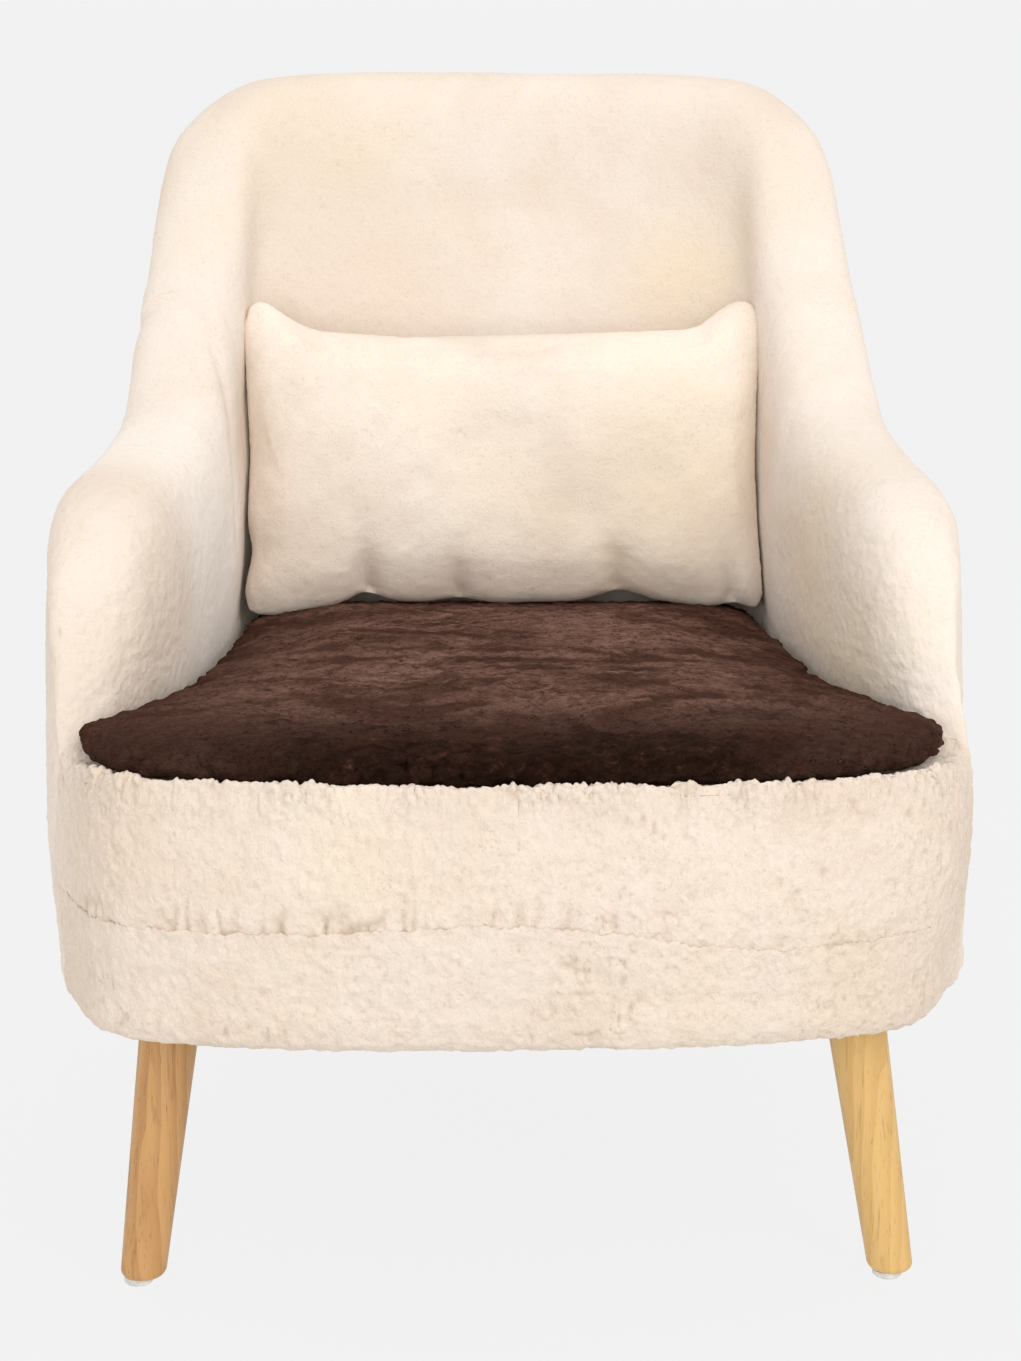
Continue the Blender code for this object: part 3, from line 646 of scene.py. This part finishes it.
steel = plain_material("zinc_steel", rgb(190, 192, 196), rgb(120, 122, 126), 240.0, 0.36, metallic=1.0)
foam = plain_material("cut_foam", rgb(240, 232, 200), rgb(214, 198, 156), 520.0, 0.88, bump_size=0.0012)
jute = plain_material("jute_weave", rgb(196, 164, 116), rgb(120, 92, 56), 300.0, 0.9, weave=260.0)
dust_cloth = plain_material("black_cloth", rgb(62, 62, 64), rgb(30, 30, 32), 420.0, 0.9, weave=420.0)
nylon = plain_material("moulded_nylon", rgb(226, 224, 218), rgb(196, 194, 188), 180.0, 0.48)


# Sewn panels

# Hand upholstery that stands off the plain form: metres outwards on the left and on the right, then the
# station and the place on the section that it centres on, each with its reach.
PADDING = (
    (0.0062, 0.0, 6.9, 1.6, 3.0, 0.9),
    (-0.0022, -0.0125, 8.7, 1.0, 2.8, 0.6),
    (0.0010, 0.0110, 10.1, 0.7, 2.95, 0.5),
    (0.0, 0.0048, 9.2, 1.5, 1.75, 0.45),
    (0.0, -0.0030, 3.7, 0.5, 3.2, 0.8),
    (0.0080, 0.0, 10.3, 1.3, 1.4, 0.5),
    (0.0, -0.0020, 10.3, 1.3, 1.8, 0.5),
)
# Depth and width of the dip at an edge.
NO_SEAM = (0.0, 0.004)
FAINT = (0.0004, 0.0040)
SEWN = (0.0012, 0.0045)
FRONT_MIDDLE = (0.0002, 0.005)
BORDER_LOW = (0.0009, 0.006)
APRON_HIGH = (-0.0003, 0.005)
# The wavy seam across the front: stations (past FRONT is the left side), and heights above CREASE_Z.
CREASE_RISES = (
    (9.7, 11.0, 11.6, 12.0, 12.4, 13.0, 13.4, 14.0, 15.0, 16.3),
    (0.008, 0.001, -0.004, -0.003, 0.010, 0.021, 0.018, 0.011, 0.010, 0.010),
)
TURNED_UNDER = 0.0018  # how far the border's low edge reaches under the apron
FRINGE_HEIGHT = 0.0062
FRONT_PILE = 0.0019


def dip(distance, depth, width):
    return -depth * np.exp(-((distance / width) ** 2))


def near(value, centre, width):
    return np.exp(-(((value - centre) / width) ** 2))


def hand_laid(s, t):
    """How far the hand upholstery stands off the plain form, outwards and upwards."""
    side = np.abs(s)
    out = 0
    for on_left, on_right, centre, reach, place, spread in PADDING:
        out = out + np.where(s < 0, on_left, on_right) * near(side, centre, reach) * near(t, place, spread)
    # The top of the back sags a little, more on the right, and the hem is drawn up.
    up = -0.0030 * near(side, 0.0, 3.0) * near(t, 3.5, 0.7) - 0.0018 * near(s, 1.3, 1.3) * near(t, 3.5, 0.7)
    up = up + 0.0060 * np.clip(1.6 - t, 0, 0.6) / 0.6
    # A ridge along the front stands up against the seat pad.
    rise = unit((side - 9.85) / 1.0)
    return out, up + 0.0115 * near(t, FRINGE_T, 0.13) * rise * rise * (3 - 2 * rise)


def arm_seam_line(s, t):
    """The sewn line where arm and back meet: it swings forward down the inside, clearer on the left."""
    swing = 0.55 * unit(t - 3.45)
    fade = unit((t - 2.85) / 0.2) * unit((4.6 - t) / 0.4)
    left = np.abs(s + ARM_SEAM + 0.05 + swing) * METRES_PER_STATION
    right = np.abs(s - ARM_SEAM - 0.40 - swing) * METRES_PER_STATION
    lift = dip(left, 0.0021, 0.0050) + 0.0011 * near(left, 0.016, 0.010)
    return fade * (lift + dip(right, 0.0006, 0.0080))


def wool(points, height, size, seed):
    """Shorn curls: how far the surface stands, and a value for the painted shade of the material, low in the
    creases and nicks.
    """
    curls = fractal(points, size, 3, seed)
    nicks = unit((noise(points * (1.3, 1.3, 0.7), 0.8 * size, seed + 29) - 0.42) / 0.3)
    where = unit(0.3 + 1.5 * noise(points, 8 * size, seed + 37))
    nicks = nicks * where * unit(height / 0.0012)
    return height * (curls - 0.7 * nicks), 1 - 0.26 * nicks - 0.30 * unit(-curls)


def seam_fade(s):
    """The wavy seam of the front sinks into the pile towards the corners, sooner on the right."""
    front = np.where(s > 0, (s - 10.9) / 1.0, (-s - 9.9) / 0.8)
    return np.where(np.abs(s) > NOSE_SEAM, unit(front), 1)


def panel(node_name, s_range, t_from, t_to, cell, curl, seams, material, detail=None):
    """One sewn panel in place of its CAD node. seams are the depth and width of the dip at the start and end
    of s and at the low and high edge, and curl gives the height of the pile by place."""
    base, s, t = even_grid(s_range, t_from, t_to, cell)
    out = outward(s)
    off, rise = hand_laid(s, t)
    base = base + np.stack([out[..., 0] * off, out[..., 1] * off, rise], axis=-1)
    normal = grid_normals(base)
    for row in (0, -1):
        if abs(s[row, 0]) == FRONT:
            normal[row, :, 0] = 0
    lift = 0.0016 * fractal(base, 0.10, 2, 5) + 0.0007 * fractal(base, 0.028, 2, 11) + arm_seam_line(s, t)
    distances = edge_distances(base)
    for distance, (depth, width) in zip(distances, seams):
        near_edge = depth * (1 + 0.7 * noise(base, 0.030, 23)) * seam_fade(s)
        notch = 0.25 * max(depth, 0) * seam_fade(s)
        lift = lift + dip(distance, near_edge, width) + dip(distance, notch, 0.0010)
    move, value = wool(base, curl(s, t), 0.0060, 41)
    lift = lift + move
    if detail:
        move, shade = detail(base, s, t)
        lift = lift + move
        # The painted shade in the hollows of the detail joins that of the curls.
        value = value * shade
    inner = base - normal * np.interp(t, (1.0, 1.6), (HEM_HIDE, HIDE))[..., None]
    made = slab_mesh(node_name + "_pile", base + normal * lift[..., None], inner, material, value)
    declare(made, "chair", node_name)


def constant(value):
    return lambda s: np.full(np.shape(s), float(value))


def crease_height(s):
    """Height of the wavy seam across the front."""
    rises = 0
    for shift in (-0.24, -0.12, 0.0, 0.12, 0.24):
        rises = rises + 0.2 * np.interp((s + shift) % (2 * FRONT), *CREASE_RISES)
    wobble = 0.0011 * np.sin(s * 21.0) * np.sin(s * 7.3 + 1.0) + 0.0006 * np.sin(s * 43.0 + 2.0)
    wobble = wobble + 0.0008 * np.sin(s * 97.0) * np.sin(s * 31.0 + 0.7) + 0.0005 * np.sin(s * 151.0 + 1.2)
    return CREASE_Z + rises + wobble


def crease_t(s):
    return t_at_height(s, crease_height(s))


def border_low_t(s):
    """The low edge of the border is turned under the edge of the apron, less and less towards the corners."""
    return t_at_height(s, crease_height(s) - TURNED_UNDER * seam_fade(s))


def smooth_curl(s, t):
    """Height of the pile on the back and arms: shorter than on the front, longer towards the arm fronts."""
    nose = np.interp(np.abs(s), (0, 4.5, 6.5, 8.4, 9.7), (0.00035, 0.0004, 0.0006, 0.0009, 0.0013))
    return nose * (1 + 0.35 * unit(3.2 - t))


def front_curl(s, t):
    return FRONT_PILE + 0 * s


def border_detail(points, s, t):
    """Puckers above the wavy seam with painted shade in them, broken tufts by the middle seam, and a ragged
    fringe along the pad.
    """
    above = points[..., 2] - crease_height(s)
    amount = np.where(s < 0, 0.60, 0.35)
    groups = unit(amount + 1.6 * noise(points * (1, 1, 0.3), 0.045, 201)) * seam_fade(s)
    ridges = 1 - np.abs(noise(points * (1, 1, 0.30), 0.0075, 207)) * 2.2
    puckers = np.exp(-((unit(above - 0.006) / 0.013) ** 2)) * groups * np.clip(ridges, -0.4, 1)
    edge = near(t, FRINGE_T, 0.17) * unit((np.abs(s) - 9.8) / 0.7)
    uneven = 0.7 + 0.6 * noise(points, 0.019, 79)
    fringe = uneven * (0.6 * tufts(points, 0.0068, 77) + 0.5 * noise(points, 0.0045, 81))
    broken, shade = middle_tufts(points, s, t)
    lift = -0.0020 * puckers + FRINGE_HEIGHT * edge * (fringe - 0.22) + broken
    # Painted shade in the hollows of the puckers.
    return lift, shade * (1 - 0.42 * unit(puckers))


def middle_tufts(points, s, t):
    """The pile of the front parts in short broken creases, mostly by the middle seam and low on the right,
    with painted shade in the creases and between the clumps.
    """
    x, z = points[..., 0], points[..., 2]
    right = near(x, 0.060, 0.055) * unit((0.38 - z) / 0.06)
    left = 0.7 * near(x, -0.085, 0.035) * near(z, 0.335, 0.035)
    corner = 0.8 * near(x, 0.220, 0.07) * unit((0.35 - z) / 0.06)
    scattered = np.clip(0.35 + 1.2 * noise(points, 0.055, 131), 0.15, 1)
    share = unit(0.7 * (right + left + corner) + 0.6 * scattered)
    frayed = points + 0.0030 * np.stack([noise(points, 0.0055, 140 + k) for k in range(3)], axis=-1)
    line = unit(1 - np.abs(noise(frayed * (1.4, 1, 0.9), 0.0085, 113)) / 0.22)
    crease = line * unit(0.10 + 2.4 * noise(frayed, 0.0095, 127))
    clump = fractal(frayed * (1.2, 1, 0.8), 0.0130, 2, 149)
    # Painted shade in the creases and the hollows between clumps.
    shade = 1 - share * (0.38 * crease + 0.22 * unit(-clump))
    return share * (0.0009 * clump - 0.0014 * crease), shade


def front_panel(part, side, t_from, t_to, cell, low_seam, high_seam, detail):
    s_range, ends = (NOSE_SEAM, FRONT), [NO_SEAM, FRONT_MIDDLE]
    if side == "left":
        s_range, ends = (-FRONT, -NOSE_SEAM), ends[::-1]
    seams = [*ends, low_seam, high_seam]
    name = f"cover_front_{part}_{side}"
    panel(name, s_range, t_from, t_to, cell, front_curl, seams, curly_hide, detail)


def cover(node_name, s_range, t_from, t_to, cell, seams):
    panel(node_name, s_range, constant(t_from), constant(t_to), cell, smooth_curl, seams, hide)


back = (-ARM_SEAM, ARM_SEAM)
inside, outside = [FAINT, FAINT, SEWN, NO_SEAM], [FAINT, FAINT, NO_SEAM, SEWN]
cover("cover_inside_back", back, TOP_SEAM, 5, 0.0021, inside)
cover("cover_outside_back", back, 0, TOP_SEAM, 0.0030, outside)
for side in ("left", "right"):
    arm, ends = (ARM_SEAM, NOSE_SEAM), [FAINT, NO_SEAM]
    if side == "left":
        arm, ends = (-NOSE_SEAM, -ARM_SEAM), ends[::-1]
    cover("cover_inside_arm_" + side, arm, TOP_SEAM, 5, 0.0018, [*ends, SEWN, NO_SEAM])
    cover("cover_outside_arm_" + side, arm, 0, TOP_SEAM, 0.0024, [*ends, NO_SEAM, SEWN])
    front_panel("border", side, border_low_t, constant(5), 0.0014, BORDER_LOW, NO_SEAM, border_detail)
    front_panel("apron", side, constant(0), crease_t, 0.0015, NO_SEAM, APRON_HIGH, middle_tufts)


# Padded pieces

CLOTH_PRESSURE = 4.0
CLOTH_FRAMES = 20


def evaluated_copy(made, name):
    """A new object with the evaluated mesh of another, which is then removed."""
    graph = bpy.context.evaluated_depsgraph_get()
    mesh = bpy.data.meshes.new_from_object(made.evaluated_get(graph))
    mesh.transform(made.matrix_world)
    bpy.data.objects.remove(made)
    return new_object(name, mesh)


def inflate(made, stiffness, cap):
    """Cloth under inner pressure without gravity, for some frames. No point moves further than cap."""
    start = vectors(made.data)
    modifier = made.modifiers.new("Cloth", "CLOTH")
    settings = modifier.settings
    settings.quality = 4
    settings.mass = 0.2
    settings.tension_stiffness = settings.compression_stiffness = stiffness
    settings.shear_stiffness = stiffness / 3
    settings.bending_stiffness = 0.4
    settings.use_pressure = True
    settings.uniform_pressure_force = CLOTH_PRESSURE
    settings.effector_weights.gravity = 0
    for frame_number in range(1, CLOTH_FRAMES + 1):
        bpy.context.scene.frame_set(frame_number)
    graph = bpy.context.evaluated_depsgraph_get()
    end = vectors(made.evaluated_get(graph).to_mesh())
    made.evaluated_get(graph).to_mesh_clear()
    made.modifiers.remove(modifier)
    bpy.context.scene.frame_set(1)
    move = end - start
    length = np.linalg.norm(move, axis=1, keepdims=True)
    set_points(made, start + move * np.minimum(1, cap / np.maximum(length, 1e-9)))


def subdivided(made, name):
    modifier = made.modifiers.new("smooth", "SUBSURF")
    modifier.levels = modifier.render_levels = 1
    copy = evaluated_copy(made, name)
    copy.data.shade_smooth()
    return copy


def grow_pile(made, size, height, seed, material, sides=0.0):
    """Moves the surface out in curls, taller by sides where it is upright, and sets its painted crease shade
    and its material.
    """
    points = vectors(made.data)
    out = vectors(made.data, "normal")
    move, value = wool(points, height + sides * (1 - np.abs(out[:, 2])), size, seed)
    set_points(made, points + out * move[:, None])
    set_crease_shade(made, value)
    set_material(made, material)


TILT = math.radians(15.0)
PILLOW_CENTRE = np.array((0.002, (PILLOW_LOW.y + PILLOW_HIGH.y) / 2, (PILLOW_LOW.z + PILLOW_HIGH.z) / 2))
LEAN = np.array((0, math.sin(TILT), math.cos(TILT)))
FACE = np.array((0, -math.cos(TILT), math.sin(TILT)))
PILLOW_CELLS = (104, 62)  # across and up
PILLOW_REACH = 0.126  # height that the profiles of the two sides are read over
PILLOW_SWELL = 0.0390  # half the thickness before the cloth is inflated
SEWN_WIDTH = (-0.2185, 0.2180)
SEWN_HEIGHT = (-0.1315, 0.1320)
# The outline of the pillow in mm: heights of its top and bottom edges across it, half widths up its sides.
TOP_EDGE = ((-220, 126), (-203, 138.5), (-180, 124), (-150, 110), (-80, 104.5), (20, 106.5), (110, 109))
TOP_EDGE += ((155, 111), (176, 125), (203, 137), (220, 126))
BOTTOM_EDGE = ((-220, -131), (-190, -130), (-150, -125), (-132, -122), (-112, -111), (-90, -121), (-60, -122))
BOTTOM_EDGE += ((-38, -117), (-10, -123), (60, -122), (93, -111), (125, -121), (170, -125), (190, -120))
BOTTOM_EDGE += ((205, -129), (220, -131))
LEFT_EDGE = ((-130, 222), (-100, 215), (-73, 207), (-42, 213), (-3, 209), (73, 213), (120, 218))
RIGHT_EDGE = ((-130, 219), (-73, 215.5), (-9, 209.5), (50, 212), (110, 217.5))
# Gathers in the bottom edge: where across it, how strong, and how far up they run.
GATHERS = ((-0.112, 1.4, 0.032), (-0.038, 1.0, 0.020), (0.093, 1.3, 0.030), (0.190, 0.9, 0.020))
GATHER_Z = -0.119
GATHER_DEPTH = 0.013


def profile(table, values):
    """A table of millimetres read with its corners rounded, in metres."""
    places, heights = np.array(table).T / 1000
    grid = np.linspace(places[0], places[-1], 241)
    line = np.interp(grid, places, heights)
    for _ in range(24):
        line[1:-1] = 0.5 * line[1:-1] + 0.25 * (line[:-2] + line[2:])
    return np.interp(values, grid, line)


def pillow_form():
    """The pillow before its cloth is inflated: a front and a back that share the points of the outline."""
    line_u, line_v = (np.linspace(-1, 1, cells + 1) for cells in PILLOW_CELLS)
    u, v = np.meshgrid(*(line * (1.25 - 0.25 * line**2) for line in (line_u, line_v)), indexing="ij")
    round_u = u * (1 - 0.045 * np.abs(v) ** 9)
    round_v = v * (1 - 0.060 * np.abs(u) ** 15)
    left, right = (profile(edge, PILLOW_REACH * round_v) for edge in (LEFT_EDGE, RIGHT_EDGE))
    x = np.where(u < 0, left, right) * round_u
    z = np.where(v > 0, profile(TOP_EDGE, x), -profile(BOTTOM_EDGE, x)) * round_v
    swell = PILLOW_SWELL * (1 - np.abs(u) ** 3.2) ** 0.5 * (1 - np.abs(v) ** 3.3) ** 0.5
    index = np.arange(u.size).reshape(u.shape)
    edge = (np.abs(line_u) == 1)[:, None] | (np.abs(line_v) == 1)[None, :]
    behind = np.full(u.shape, -1)
    behind[edge] = index[edge]
    behind[~edge] = u.size + np.arange(np.count_nonzero(~edge))
    front = np.stack([x, -np.where(edge, 0, swell), z], axis=-1)
    points = np.concatenate([front.reshape(-1, 3), front[~edge] * (1, -1, 1)])
    faces = [grid_faces(index, turned=True), grid_faces(behind)]
    return mesh_object("pillow_flat", points, faces, pillow_hide)


def make_pillow():
    flat = pillow_form()
    inflate(flat, 14.0, 0.006)
    made = subdivided(flat, "pillow_pile")
    x, depth, z = vectors(made.data).T
    # The filling pulls the edges in, so the outline is let out again to its sewn size.
    x = np.interp(x, (x.min(), x.max()), SEWN_WIDTH)
    z = np.interp(z, (z.min(), z.max()), SEWN_HEIGHT)
    front = unit(-depth / 0.015)
    low = z - GATHER_Z
    for place, strength, reach in GATHERS:
        slant = x - place + 0.15 * low
        width = 0.006 + 0.12 * np.abs(low)
        pinch = strength * np.exp(-((slant / width) ** 2)) * np.exp(-unit(low) / reach)
        depth = depth + GATHER_DEPTH * pinch * front
    grid = np.stack([x, 0 * x, z], axis=-1)
    depth = depth + (0.0022 * noise(grid, 0.055, 61) + 0.0008 * noise(grid, 0.022, 67)) * front
    set_points(made, PILLOW_CENTRE + x[:, None] * (1, 0, 0) + z[:, None] * LEAN - depth[:, None] * FACE)
    keep_clear(made, 0.0027)
    grow_pile(made, 0.0060, 0.0006, 71, pillow_hide)
    declare(made, "pillow", "pillow_cover")


def keep_clear(made, clear):
    """Moves a piece's points clear of the inner covers, level, by their distance from the nearest section."""
    points = vectors(made.data)
    stations = np.linspace(-9.5, 9.5, 380)
    levels = np.linspace(TUCK_Z, 0.83, 90)
    sections = ring(stations[:, None], np.linspace(4, 5, 60))[:, ::-1]
    walls = np.array([resample(levels, section[:, 2], section[:, :2]) for section in sections])
    out = outward(stations)
    height = np.clip(points[:, 2], levels[0], levels[-1])
    level = np.round((height - levels[0]) / (levels[1] - levels[0])).astype(int)
    for k in np.unique(level):
        here = np.nonzero(level == k)[0]
        gap = points[here, None, :2] - walls[None, :, k]
        nearest = np.argmin((gap**2).sum(-1), axis=1)
        depth = -(gap[np.arange(len(here)), nearest] * out[nearest]).sum(-1)
        points[here, :2] -= out[nearest] * np.clip(clear - depth, 0, 0.05)[:, None]
    set_points(made, points)


def outer_shell(node_name, name):
    """A copy of a CAD cover without the faces of its inner hollow."""
    made = new_object(name, frame["nodes"][node_name].data.copy())
    work = welded(made.data, 1e-6)
    start = min(work.verts, key=lambda vert: vert.co.z)
    reached = {start}
    queue = [start]
    while queue:
        for edge in queue.pop().link_edges:
            for vert in edge.verts:
                if vert not in reached:
                    reached.add(vert)
                    queue.append(vert)
    bmesh.ops.delete(work, geom=[vert for vert in work.verts if vert not in reached], context="VERTS")
    write_back(work, made.data)
    return made


def heights_below(names, points):
    """The height of the highest surface of the named pieces under or over each point, or -1."""
    trees = []
    for name in names:
        mesh = bpy.data.objects[name].data
        vertices = [tuple(p) for p in vectors(mesh)]
        trees.append(BVHTree.FromPolygons(vertices, [tuple(face.vertices) for face in mesh.polygons]))
    found = np.full(len(points), -1.0)
    for k, (x, y, _) in enumerate(points):
        for tree in trees:
            hit = tree.ray_cast(Vector((x, y, 0.50)), Vector((0, 0, -1)), 0.3)[0]
            if hit:
                found[k] = max(found[k], hit.z)
    return found


def make_pad():
    start = outer_shell("seat_pad_cover", "pad_start")
    remesh = start.modifiers.new("even", "REMESH")
    remesh.mode = "VOXEL"
    remesh.voxel_size = 0.0055
    remesh.adaptivity = 0
    flat = evaluated_copy(start, "pad_flat")
    before = vectors(flat.data)
    inflate(flat, 15.0, 0.005)
    # The pad grows in thickness more than in width.
    set_points(flat, before + (vectors(flat.data) - before) * (0.25, 0.25, 0.8))
    made = subdivided(flat, "seat_pad_pile")
    points = vectors(made.data)
    x, y, z = points.T
    floor_z = PAD_LOW.z + 0.0004
    high = unit((z - floor_z - 0.008) / 0.02)
    z = np.maximum(z, floor_z)
    z = z + high * (0.0030 * fractal(points, 0.12, 2, 83) + 0.0013 * fractal(points, 0.030, 2, 89))
    spread = 1 + 0.0015 * near(z, floor_z + 0.008, 0.012) / 0.3
    points = np.stack([x * spread, (y + 0.08) * spread - 0.08, z], axis=-1)
    set_points(made, points)
    out = vectors(made.data, "normal")
    clump = 0.0024 * (1 - 0.7 * np.abs(out[:, 2])) * (tufts(points, 0.0100, 95) - 0.6)
    set_points(made, points + out * clump[:, None])
    grow_pile(made, 0.0078, 0.0022, 91, brown_hide, 0.0045)
    # The front edge rests on the pile of the border.
    points = vectors(made.data)
    borders = ["cover_front_border_left_pile", "cover_front_border_right_pile"]
    close = np.nonzero((points[:, 1] < PAD_LOW.y + 0.12) & (points[:, 2] < PAD_LOW.z + 0.016))[0]
    rest = heights_below(borders, points[close]) + 0.0004
    points[close, 2] += np.clip(rest - points[close, 2], 0, 0.010)
    set_points(made, points)
    declare(made, "seat_pad", "seat_pad_cover")


make_pillow()
make_pad()


# Legs

LEG_TOP_Z = 0.2172
LEG_TOP_RADIUS, LEG_FOOT_RADIUS = 0.0228, 0.0170
LEG_EASE = 0.006  # rounding of the foot
LEG_FOOT_SHIFT = 0.0028
LEG_SIDES = 64
GLIDE_TOP, GLIDE_GAP = 0.005, 0.0003
BOLT_RADIUS, BOLT_DEPTH = 0.0043, 0.035
STEM_RADIUS, STEM_TOP = 0.0028, 0.0183


def leg_body(name, top, foot, material):
    """A tapered turned leg with an eased foot and the bores of its bolt and glide."""
    low = GLIDE_TOP + GLIDE_GAP
    outline = [(0.0, STEM_TOP), (STEM_RADIUS, STEM_TOP), (STEM_RADIUS, low)]
    for k in range(9):
        turn = math.pi / 2 * k / 8
        radius = LEG_FOOT_RADIUS - LEG_EASE + LEG_EASE * math.sin(turn)
        outline.append((radius, low + LEG_EASE - LEG_EASE * math.cos(turn)))
    for k in range(1, 25):
        f = k / 24
        radius = LEG_FOOT_RADIUS + (LEG_TOP_RADIUS - LEG_FOOT_RADIUS) * f
        outline.append((radius, low + LEG_EASE + (LEG_TOP_Z - low - LEG_EASE) * f))
    bore = LEG_TOP_Z - BOLT_DEPTH
    outline += [(BOLT_RADIUS, LEG_TOP_Z), (BOLT_RADIUS, bore), (0.0, bore)]
    turns = 2 * math.pi * np.arange(LEG_SIDES) / LEG_SIDES
    points = []
    for radius, z in outline:
        f = z / LEG_TOP_Z
        x = foot[0] + LEG_FOOT_SHIFT + (top[0] - foot[0] - LEG_FOOT_SHIFT) * f
        y = foot[1] + (top[1] - foot[1]) * f + SHIFT_Y
        heights = np.full(LEG_SIDES, z)
        points.append(np.stack([x + radius * np.cos(turns), y + radius * np.sin(turns), heights], axis=-1))
    index = np.arange(len(outline) * LEG_SIDES).reshape(len(outline), LEG_SIDES)
    after = np.roll(index, -1, axis=1)
    quads = np.stack([index[:-1], after[:-1], after[1:], index[1:]], axis=-1).reshape(-1, 4)
    made = mesh_object(name + "_turned", np.concatenate(points), [quads], material)
    work = welded(made.data, 1e-6)
    bmesh.ops.recalc_face_normals(work, faces=work.faces)
    write_back(work, made.data)
    set_smooth(made, 50)
    declare(made, "chair", name)


for side, sign, oak in (("left", -1, oak_left), ("right", 1, oak_right)):
    leg_body("leg_front_" + side, (sign * 0.250, -0.238), (sign * 0.279, -0.264), oak)
    leg_body("leg_rear_" + side, (sign * 0.204, 0.188), (sign * 0.224, 0.258), oak)


# Hidden soft layers, each in place of its plain CAD solid


def soft_layer(node_name, body, material, size, height, shrink=1.0):
    """The CAD node's form with the slightly uneven faces of cut foam or woven cloth."""
    start = new_object("start", frame["nodes"][node_name].data.copy())
    work = welded(start.data, 1e-5)
    bmesh.ops.dissolve_limit(work, angle_limit=math.radians(1), verts=work.verts, edges=work.edges)
    bmesh.ops.triangulate(work, faces=work.faces)
    for _ in range(6):
        long_edges = [edge for edge in work.edges if edge.calc_length() > size]
        if not long_edges:
            break
        bmesh.ops.subdivide_edges(work, edges=long_edges, cuts=1)
        bmesh.ops.triangulate(work, faces=work.faces)
    write_back(work, start.data)
    made = evaluated_copy(start, node_name + "_layer")
    set_smooth(made, 40)
    middle = np.array(sum(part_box(node_name), Vector()) / 2)
    points = middle + (vectors(made.data) - middle) * shrink
    wave = fractal(points, 3 * size, 2, 97) - 1
    set_points(made, points + vectors(made.data, "normal") * (height * wave)[:, None])
    set_material(made, material)
    declare(made, body, node_name)
    return made


def foam_layer(node_name, body="chair", shrink=1.0):
    soft_layer(node_name, body, foam, 0.012, 0.0004, shrink)


def cloth_layer(node_name, material):
    made = soft_layer(node_name, "chair", material, 0.014, 0.0001)


for name in ("back_foam", "arm_foam_left", "arm_foam_right", "seat_foam"):
    foam_layer(name)
foam_layer("seat_pad_core", "seat_pad", 0.985)
foam_layer("pillow_insert", "pillow", 0.93)
cloth_layer("seat_hessian", jute)
cloth_layer("dust_cover", dust_cloth)
for number, length in ((1, 0.302), (2, 0.365), (3, 0.302)):
    strap = f"back_strap_{number}"
    cloth_layer(strap, jute)
deck = soft_layer("cover_seat_deck", "chair", hide, 0.006, 0.0004)
# Painted shade in faint random creases on the deck.
set_crease_shade(deck, 0.80 + 0.20 * fractal(vectors(deck.data), 0.006, 2, 3))


# Finishes of the CAD nodes that stay

FINISHES = {"frame_timber": frame_wood, "zinc_steel": steel, "nylon": nylon, "oiled_oak": oak_left}
for part in frame["record"]["subparts"]:
    finish = FINISHES.get(part["material_slot"])
    shown = frame["nodes"][part["node"]]
    if finish and not shown.hide_render:
        set_material(shown, finish)


# Studio

PALE = 0.888  # the world's grey
FLOOR_RADIUS, FLOOR_SIDES = 400, 64
LIGHT_TARGET = (0, 0, 0.45)


def area_light(name, place, target, size, power, colour):
    light = bpy.data.lights.new(name, "AREA")
    light.shape = "RECTANGLE"
    light.size, light.size_y = size
    light.energy = power
    light.color = colour
    made = new_object(name, light)
    made.location = place
    made.rotation_euler = (Vector(target) - made.location).to_track_quat("-Z", "Y").to_euler()


floor_paint = Paint("pale_floor")
floor_material = floor_paint.done(
    {
        "Base Color": floor_paint.stretch(floor_paint.noise(3.0), 0.3, 0.7, 0.029, 0.031),
        "Roughness": 0.9,
        "Specular IOR Level": 0.0,
        "Emission Color": (1, 1, 1, 1),
        "Emission Strength": 0.857,
    }
)
floor_turns = [2 * math.pi * k / FLOOR_SIDES for k in range(FLOOR_SIDES)]
floor_points = [(FLOOR_RADIUS * math.cos(turn), FLOOR_RADIUS * math.sin(turn), 0) for turn in floor_turns]
floor_mesh = bpy.data.meshes.new("floor")
floor_mesh.from_pydata(floor_points, [], [tuple(range(FLOOR_SIDES))])
floor_mesh.materials.append(floor_material)
floor = new_object("floor", floor_mesh)

world = bpy.data.worlds.new("studio")
world.use_nodes = True
background = world.node_tree.nodes["Background"]
background.inputs["Color"].default_value = (PALE, PALE, PALE, 1)
background.inputs["Strength"].default_value = 1.0
bpy.context.scene.world = world
bpy.context.scene.view_settings.view_transform = "Standard"

area_light("key", (1.7, -2.6, 2.2), LIGHT_TARGET, (1.8, 1.8), 32.5, (1.0, 0.985, 0.968))
area_light("fill", (-0.5, -3.2, 0.95), LIGHT_TARGET, (2.2, 1.5), 26.5, (0.99, 0.99, 1.0))
area_light("top", (0.0, 0.0, 2.8), (0, 0, 0.4), (1.8, 1.8), 7.0, (1.0, 1.0, 1.0))

YAW = math.radians(1.3)
PITCH = math.radians(12.80)
DISTANCE = 2.3
EYE_Z = 0.919
lens = bpy.data.cameras.new("photo_camera")
lens.sensor_width = 36.0  # the long side of the picture
lens.lens = 77.7
lens.shift_x = 0.0033
camera = new_object("photo_camera", lens)
camera.location = (-DISTANCE * math.sin(YAW), -DISTANCE * math.cos(YAW) + SHIFT_Y, EYE_Z)
camera.rotation_euler = (math.pi / 2 - PITCH, 0, -YAW)
bpy.context.scene.camera = camera

for made in bpy.data.objects:
    if made.type == "MESH" and not made.hide_render:
        made.data.validate()
